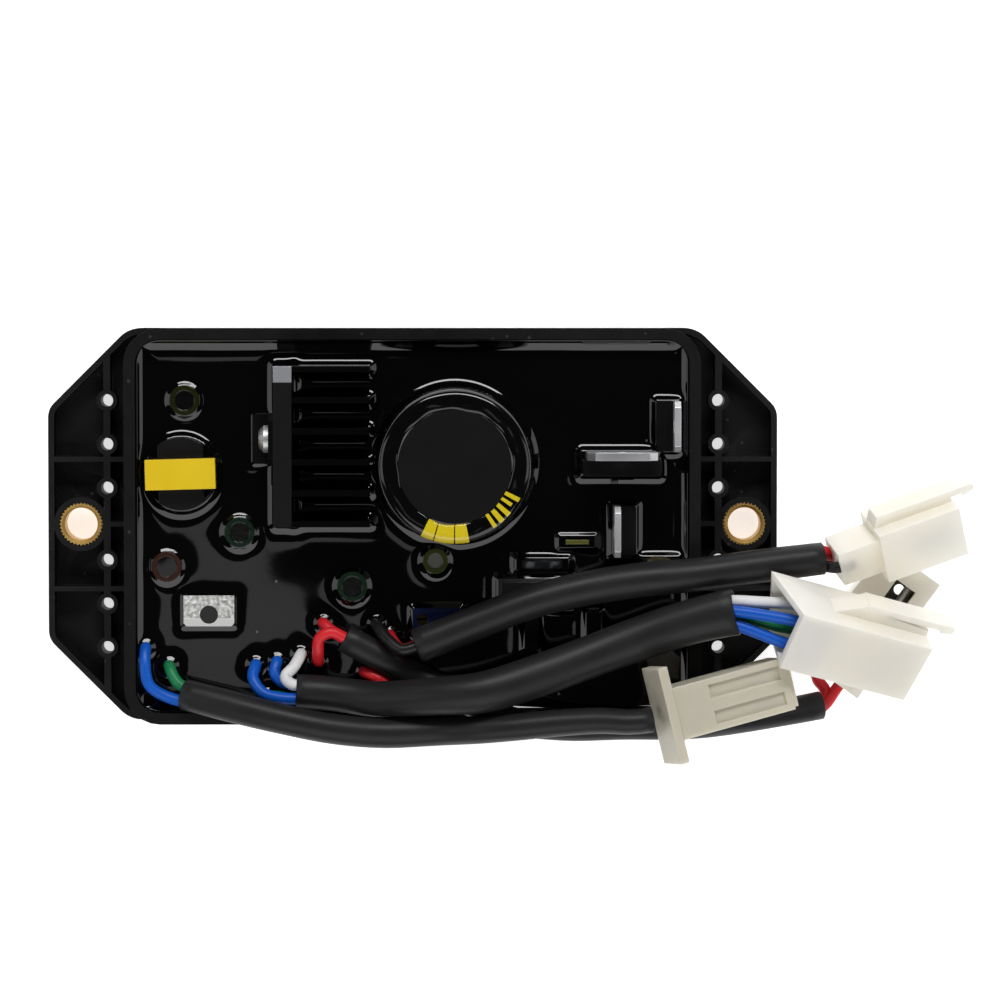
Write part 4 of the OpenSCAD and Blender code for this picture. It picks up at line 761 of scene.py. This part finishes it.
# Connectors: natural nylon housings with the crimped contacts inside, pushed on to the wire ends.
# Two plugs and two sockets lie in a heap on and beside the right ear.
nylon_materials = {}
for look, dark, light in (("nylon", "efe8d8", "fdf9f0"), ("nylon_grey", "b8b2a0", "cec8b7"),
                          ("nylon_painted_hollow_shade", "efe8d8", "fdf9f0")):
    nylon_materials[look] = grained(
        look, (dark, light), (0.28, 0.46), 600.0, 0.07, Subsurface_Weight=0.6, Subsurface_Scale=0.003,
        Subsurface_Radius=(1.0, 1.0, 0.95))
# The hooded socket's hollow, between the inner walls of its hood, is darkened with painted shade: its rear's
# X and Y, its turn in degrees and its axis' height in millimetres, then the hollow's reach along, across and
# up
socket_rear, socket_turn, socket_axis = (83, -30.8), 54, 5.1
hollow_from, hollow_to, hollow_side, hollow_high = 0.0187, 0.0272, 0.0056, 0.0037
hollow_tree, hollow_shader, hollow_plain = inside(nylon_materials["nylon_painted_hollow_shade"])
hollow_at = add_node(hollow_tree, "Mapping", {
    "Vector": add_node(hollow_tree, "TexCoord").outputs["Object"],
    "Location": 0.001 * Vector((*socket_rear, socket_axis)),
    "Rotation": (0, 0, math.radians(socket_turn))}, vector_type="TEXTURE")
hollow_place = add_node(hollow_tree, "SeparateXYZ", {0: hollow_at.outputs[0]}).outputs
hollow = band(hollow_tree, hollow_place["X"], hollow_from, hollow_to, 0.0004)
for axis, half in (("Y", hollow_side), ("Z", hollow_high)):
    hollow_between = band(hollow_tree, hollow_place[axis], -half, half, 0.0003)
    hollow = maths(hollow_tree, "MULTIPLY", hollow, hollow_between)
# Painted shade: the nylon goes dark inside the hollow, between its inner walls
feed(hollow_tree, hollow_shader, Base_Color=blended(hollow_tree, hollow, hollow_plain, "4e4838"))


def seated(place, points):
    """Points of a connector's own frame, +X out of its front, rolled about X, pitched about Y, turned
    about Z and moved to the middle of its rear."""
    middle, yaw, pitch, roll = place
    turn = Matrix.Rotation(math.radians(yaw), 3, "Z") @ Matrix.Rotation(math.radians(pitch), 3, "Y")
    turn = turn @ Matrix.Rotation(math.radians(roll), 3, "X")
    return 0.001 * (np.asarray(points, float) @ np.array(turn).T + middle)


def carve(piece, place, outline, half, operation):
    """Joins a prism to a piece or cuts it away: the outline in the place's X and Y, reaching half to each
    side in Z. The result is a plain mesh again, so the piece's bevel still rounds it."""
    count = len(outline)
    ends = np.concatenate([np.column_stack([outline, np.full(count, z)]) for z in (-half, half)])
    index = np.arange(count)
    turned = np.roll(index, -1)
    sides = np.stack([index, turned, count + turned, count + index], axis=-1)
    faces = [sides, index[None, ::-1], count + index[None]]
    tool = put_mesh("carve_tool", seated(place, ends), faces, False)
    bevel = piece.modifiers["edges"]
    bevel.show_viewport = False
    cut = piece.modifiers.new("carve", "BOOLEAN")
    cut.operation = operation
    cut.object = tool
    shape = bpy.data.meshes.new_from_object(piece.evaluated_get(bpy.context.evaluated_depsgraph_get()))
    piece.modifiers.remove(cut)
    bevel.show_viewport = True
    old = [piece.data, tool.data]
    piece.data = shape
    bpy.data.objects.remove(tool)
    bpy.data.batch_remove(old)


housings = {}
for node, look in (("plug_two_way", "nylon"), ("plug_four_way", "nylon"), ("socket_two_way", "nylon_painted_hollow_shade"),
                   ("socket_flanged", "nylon_grey")):
    housings[node] = finish_piece(softened(node, 0.0005, segments=4), nylon_materials[look], "nylon", node)
# The latch arms run out of webs that fill most of the slot under them; the four-way plug's skirt is
# also cut back at its lower corner. Places are a middle in millimetres and a turn, a pitch and a roll.
two_place = ([83, -6.8, 19.2], 19, 8, 28)
four_place = ([72.2, -18, 27.4], -16, 19, 28)
skirt_place = ([70.8, -17.6, 27.9], 3.5, 5.4, 0)
web_half, skirt_half = 2.2, 16
two_web = [[8.6, 5.2], [25.1, 5.2], [25.1, 6.9], [9.6, 7.7]]
four_web = [[7.5, 6.3], [28.2, 6.3], [28.2, 7.7], [16.4, 8.7], [14.2, 9.8]]
skirt_waste = [[-12, -skirt_half], [0, -skirt_half], [0, skirt_half], [-12, skirt_half]]
carve(housings["plug_two_way"], two_place, two_web, web_half, "UNION")
carve(housings["plug_four_way"], four_place, four_web, web_half, "UNION")
carve(housings["plug_four_way"], skirt_place, skirt_waste, skirt_half, "DIFFERENCE")
# A round hole goes through the socket's floor under its window
floor_place = ([*socket_rear, 0.6], socket_turn, 0, 0)
hole_x, hole_y, hole_radius, hole_half = 22.5, -1.5, 1.05, 2.2
hole_turn = np.linspace(0, 2 * np.pi, 24, endpoint=False)
hole = np.column_stack([hole_x + hole_radius * np.cos(hole_turn), hole_y + hole_radius * np.sin(hole_turn)])
carve(housings["socket_two_way"], floor_place, hole, hole_half, "DIFFERENCE")
for node in ("contacts_two_way", "contacts_four_way", "pins_socket", "pins_flanged"):
    finish_piece(softened(node, 0.00015), metal_material, "bare_metal", node)

# Leads: four loose bundles, each a sleeve with its wires, held by the resin at one end and ending in a
# nylon housing with its contacts.
lead_parts = {
    "sleeve_flange": (("wire_blue_flange", "wire_green_flange"), "socket_flanged", "pins_flanged"),
    "sleeve_four_way": (("wire_blue_left", "wire_blue_right", "wire_white", "wire_green"),
                        "plug_four_way", "contacts_four_way"),
    "sleeve_two_way": (("wire_red_plug", "wire_black_plug"), "plug_two_way", "contacts_two_way"),
    "sleeve_socket": (("wire_red_upper", "wire_red_lower"), "socket_two_way", "pins_socket")}
for node, (bundle, housing, metal) in lead_parts.items():
    line = sleeve_lines[node]

# Stage: a plain pale floor, a narrow soft light beyond the tray, a broad one before it and weak ones at
# its ends, with little from above, so the level resin stays black and its edges catch light. A small
# lamp makes the patch on the resin.
floor_half, floor_drop = 3.0, 0.0002
floor_corners = ((-1, -1), (1, -1), (1, 1), (-1, 1))
floor_points = [(x * floor_half, y * floor_half, -floor_drop) for x, y in floor_corners]
floor_mesh = bpy.data.meshes.new("floor")
floor_mesh.from_pydata(floor_points, [], [(0, 1, 2, 3)])
floor = bpy.data.objects.new("floor", floor_mesh)
scene.collection.objects.link(floor)
floor_material = new_material(
    "floor", "f6f6f6", Roughness=0.9, Emission_Strength=0.7, Emission_Color=(1, 1, 1, 1))[0]
floor_mesh.materials.append(floor_material)


def soft_light(name, at, aim, size, watts):
    """A rectangular area light at a point, turned to another."""
    light = bpy.data.lights.new(name, "AREA")
    light.shape = "RECTANGLE"
    light.size, light.size_y = size
    light.energy = watts
    lamp = bpy.data.objects.new(name, light)
    lamp.location = at
    lamp.rotation_euler = (Vector(aim) - Vector(at)).to_track_quat("-Z", "Y").to_euler()
    scene.collection.objects.link(lamp)


soft_light("far_softbox", (0.05, 0.85, 0.75), (0, 0, 0), (1.0, 0.25), 9.5)
soft_light("near_softbox", (0.05, -0.85, 0.85), (0, 0, 0), (1.5, 0.9), 8.5)
soft_light("left_softbox", (-1.0, 0.05, 0.7), (0, 0, 0), (0.6, 0.8), 2.2)
soft_light("right_softbox", (1.05, 0.05, 0.7), (0, 0, 0), (0.6, 0.8), 2.2)
soft_light("small_lamp", (-0.066, -0.084, 0.8), (-0.03, -0.02, 0), (0.095, 0.046), 0.0097)
world = bpy.data.worlds.new("studio")
scene.world = world
world.use_nodes = True
sky = world.node_tree.nodes["Background"]
sky.inputs["Color"].default_value = (0.9, 0.95, 1.0, 1)
sky.inputs["Strength"].default_value = 0.02
scene.view_settings.view_transform = "Standard"
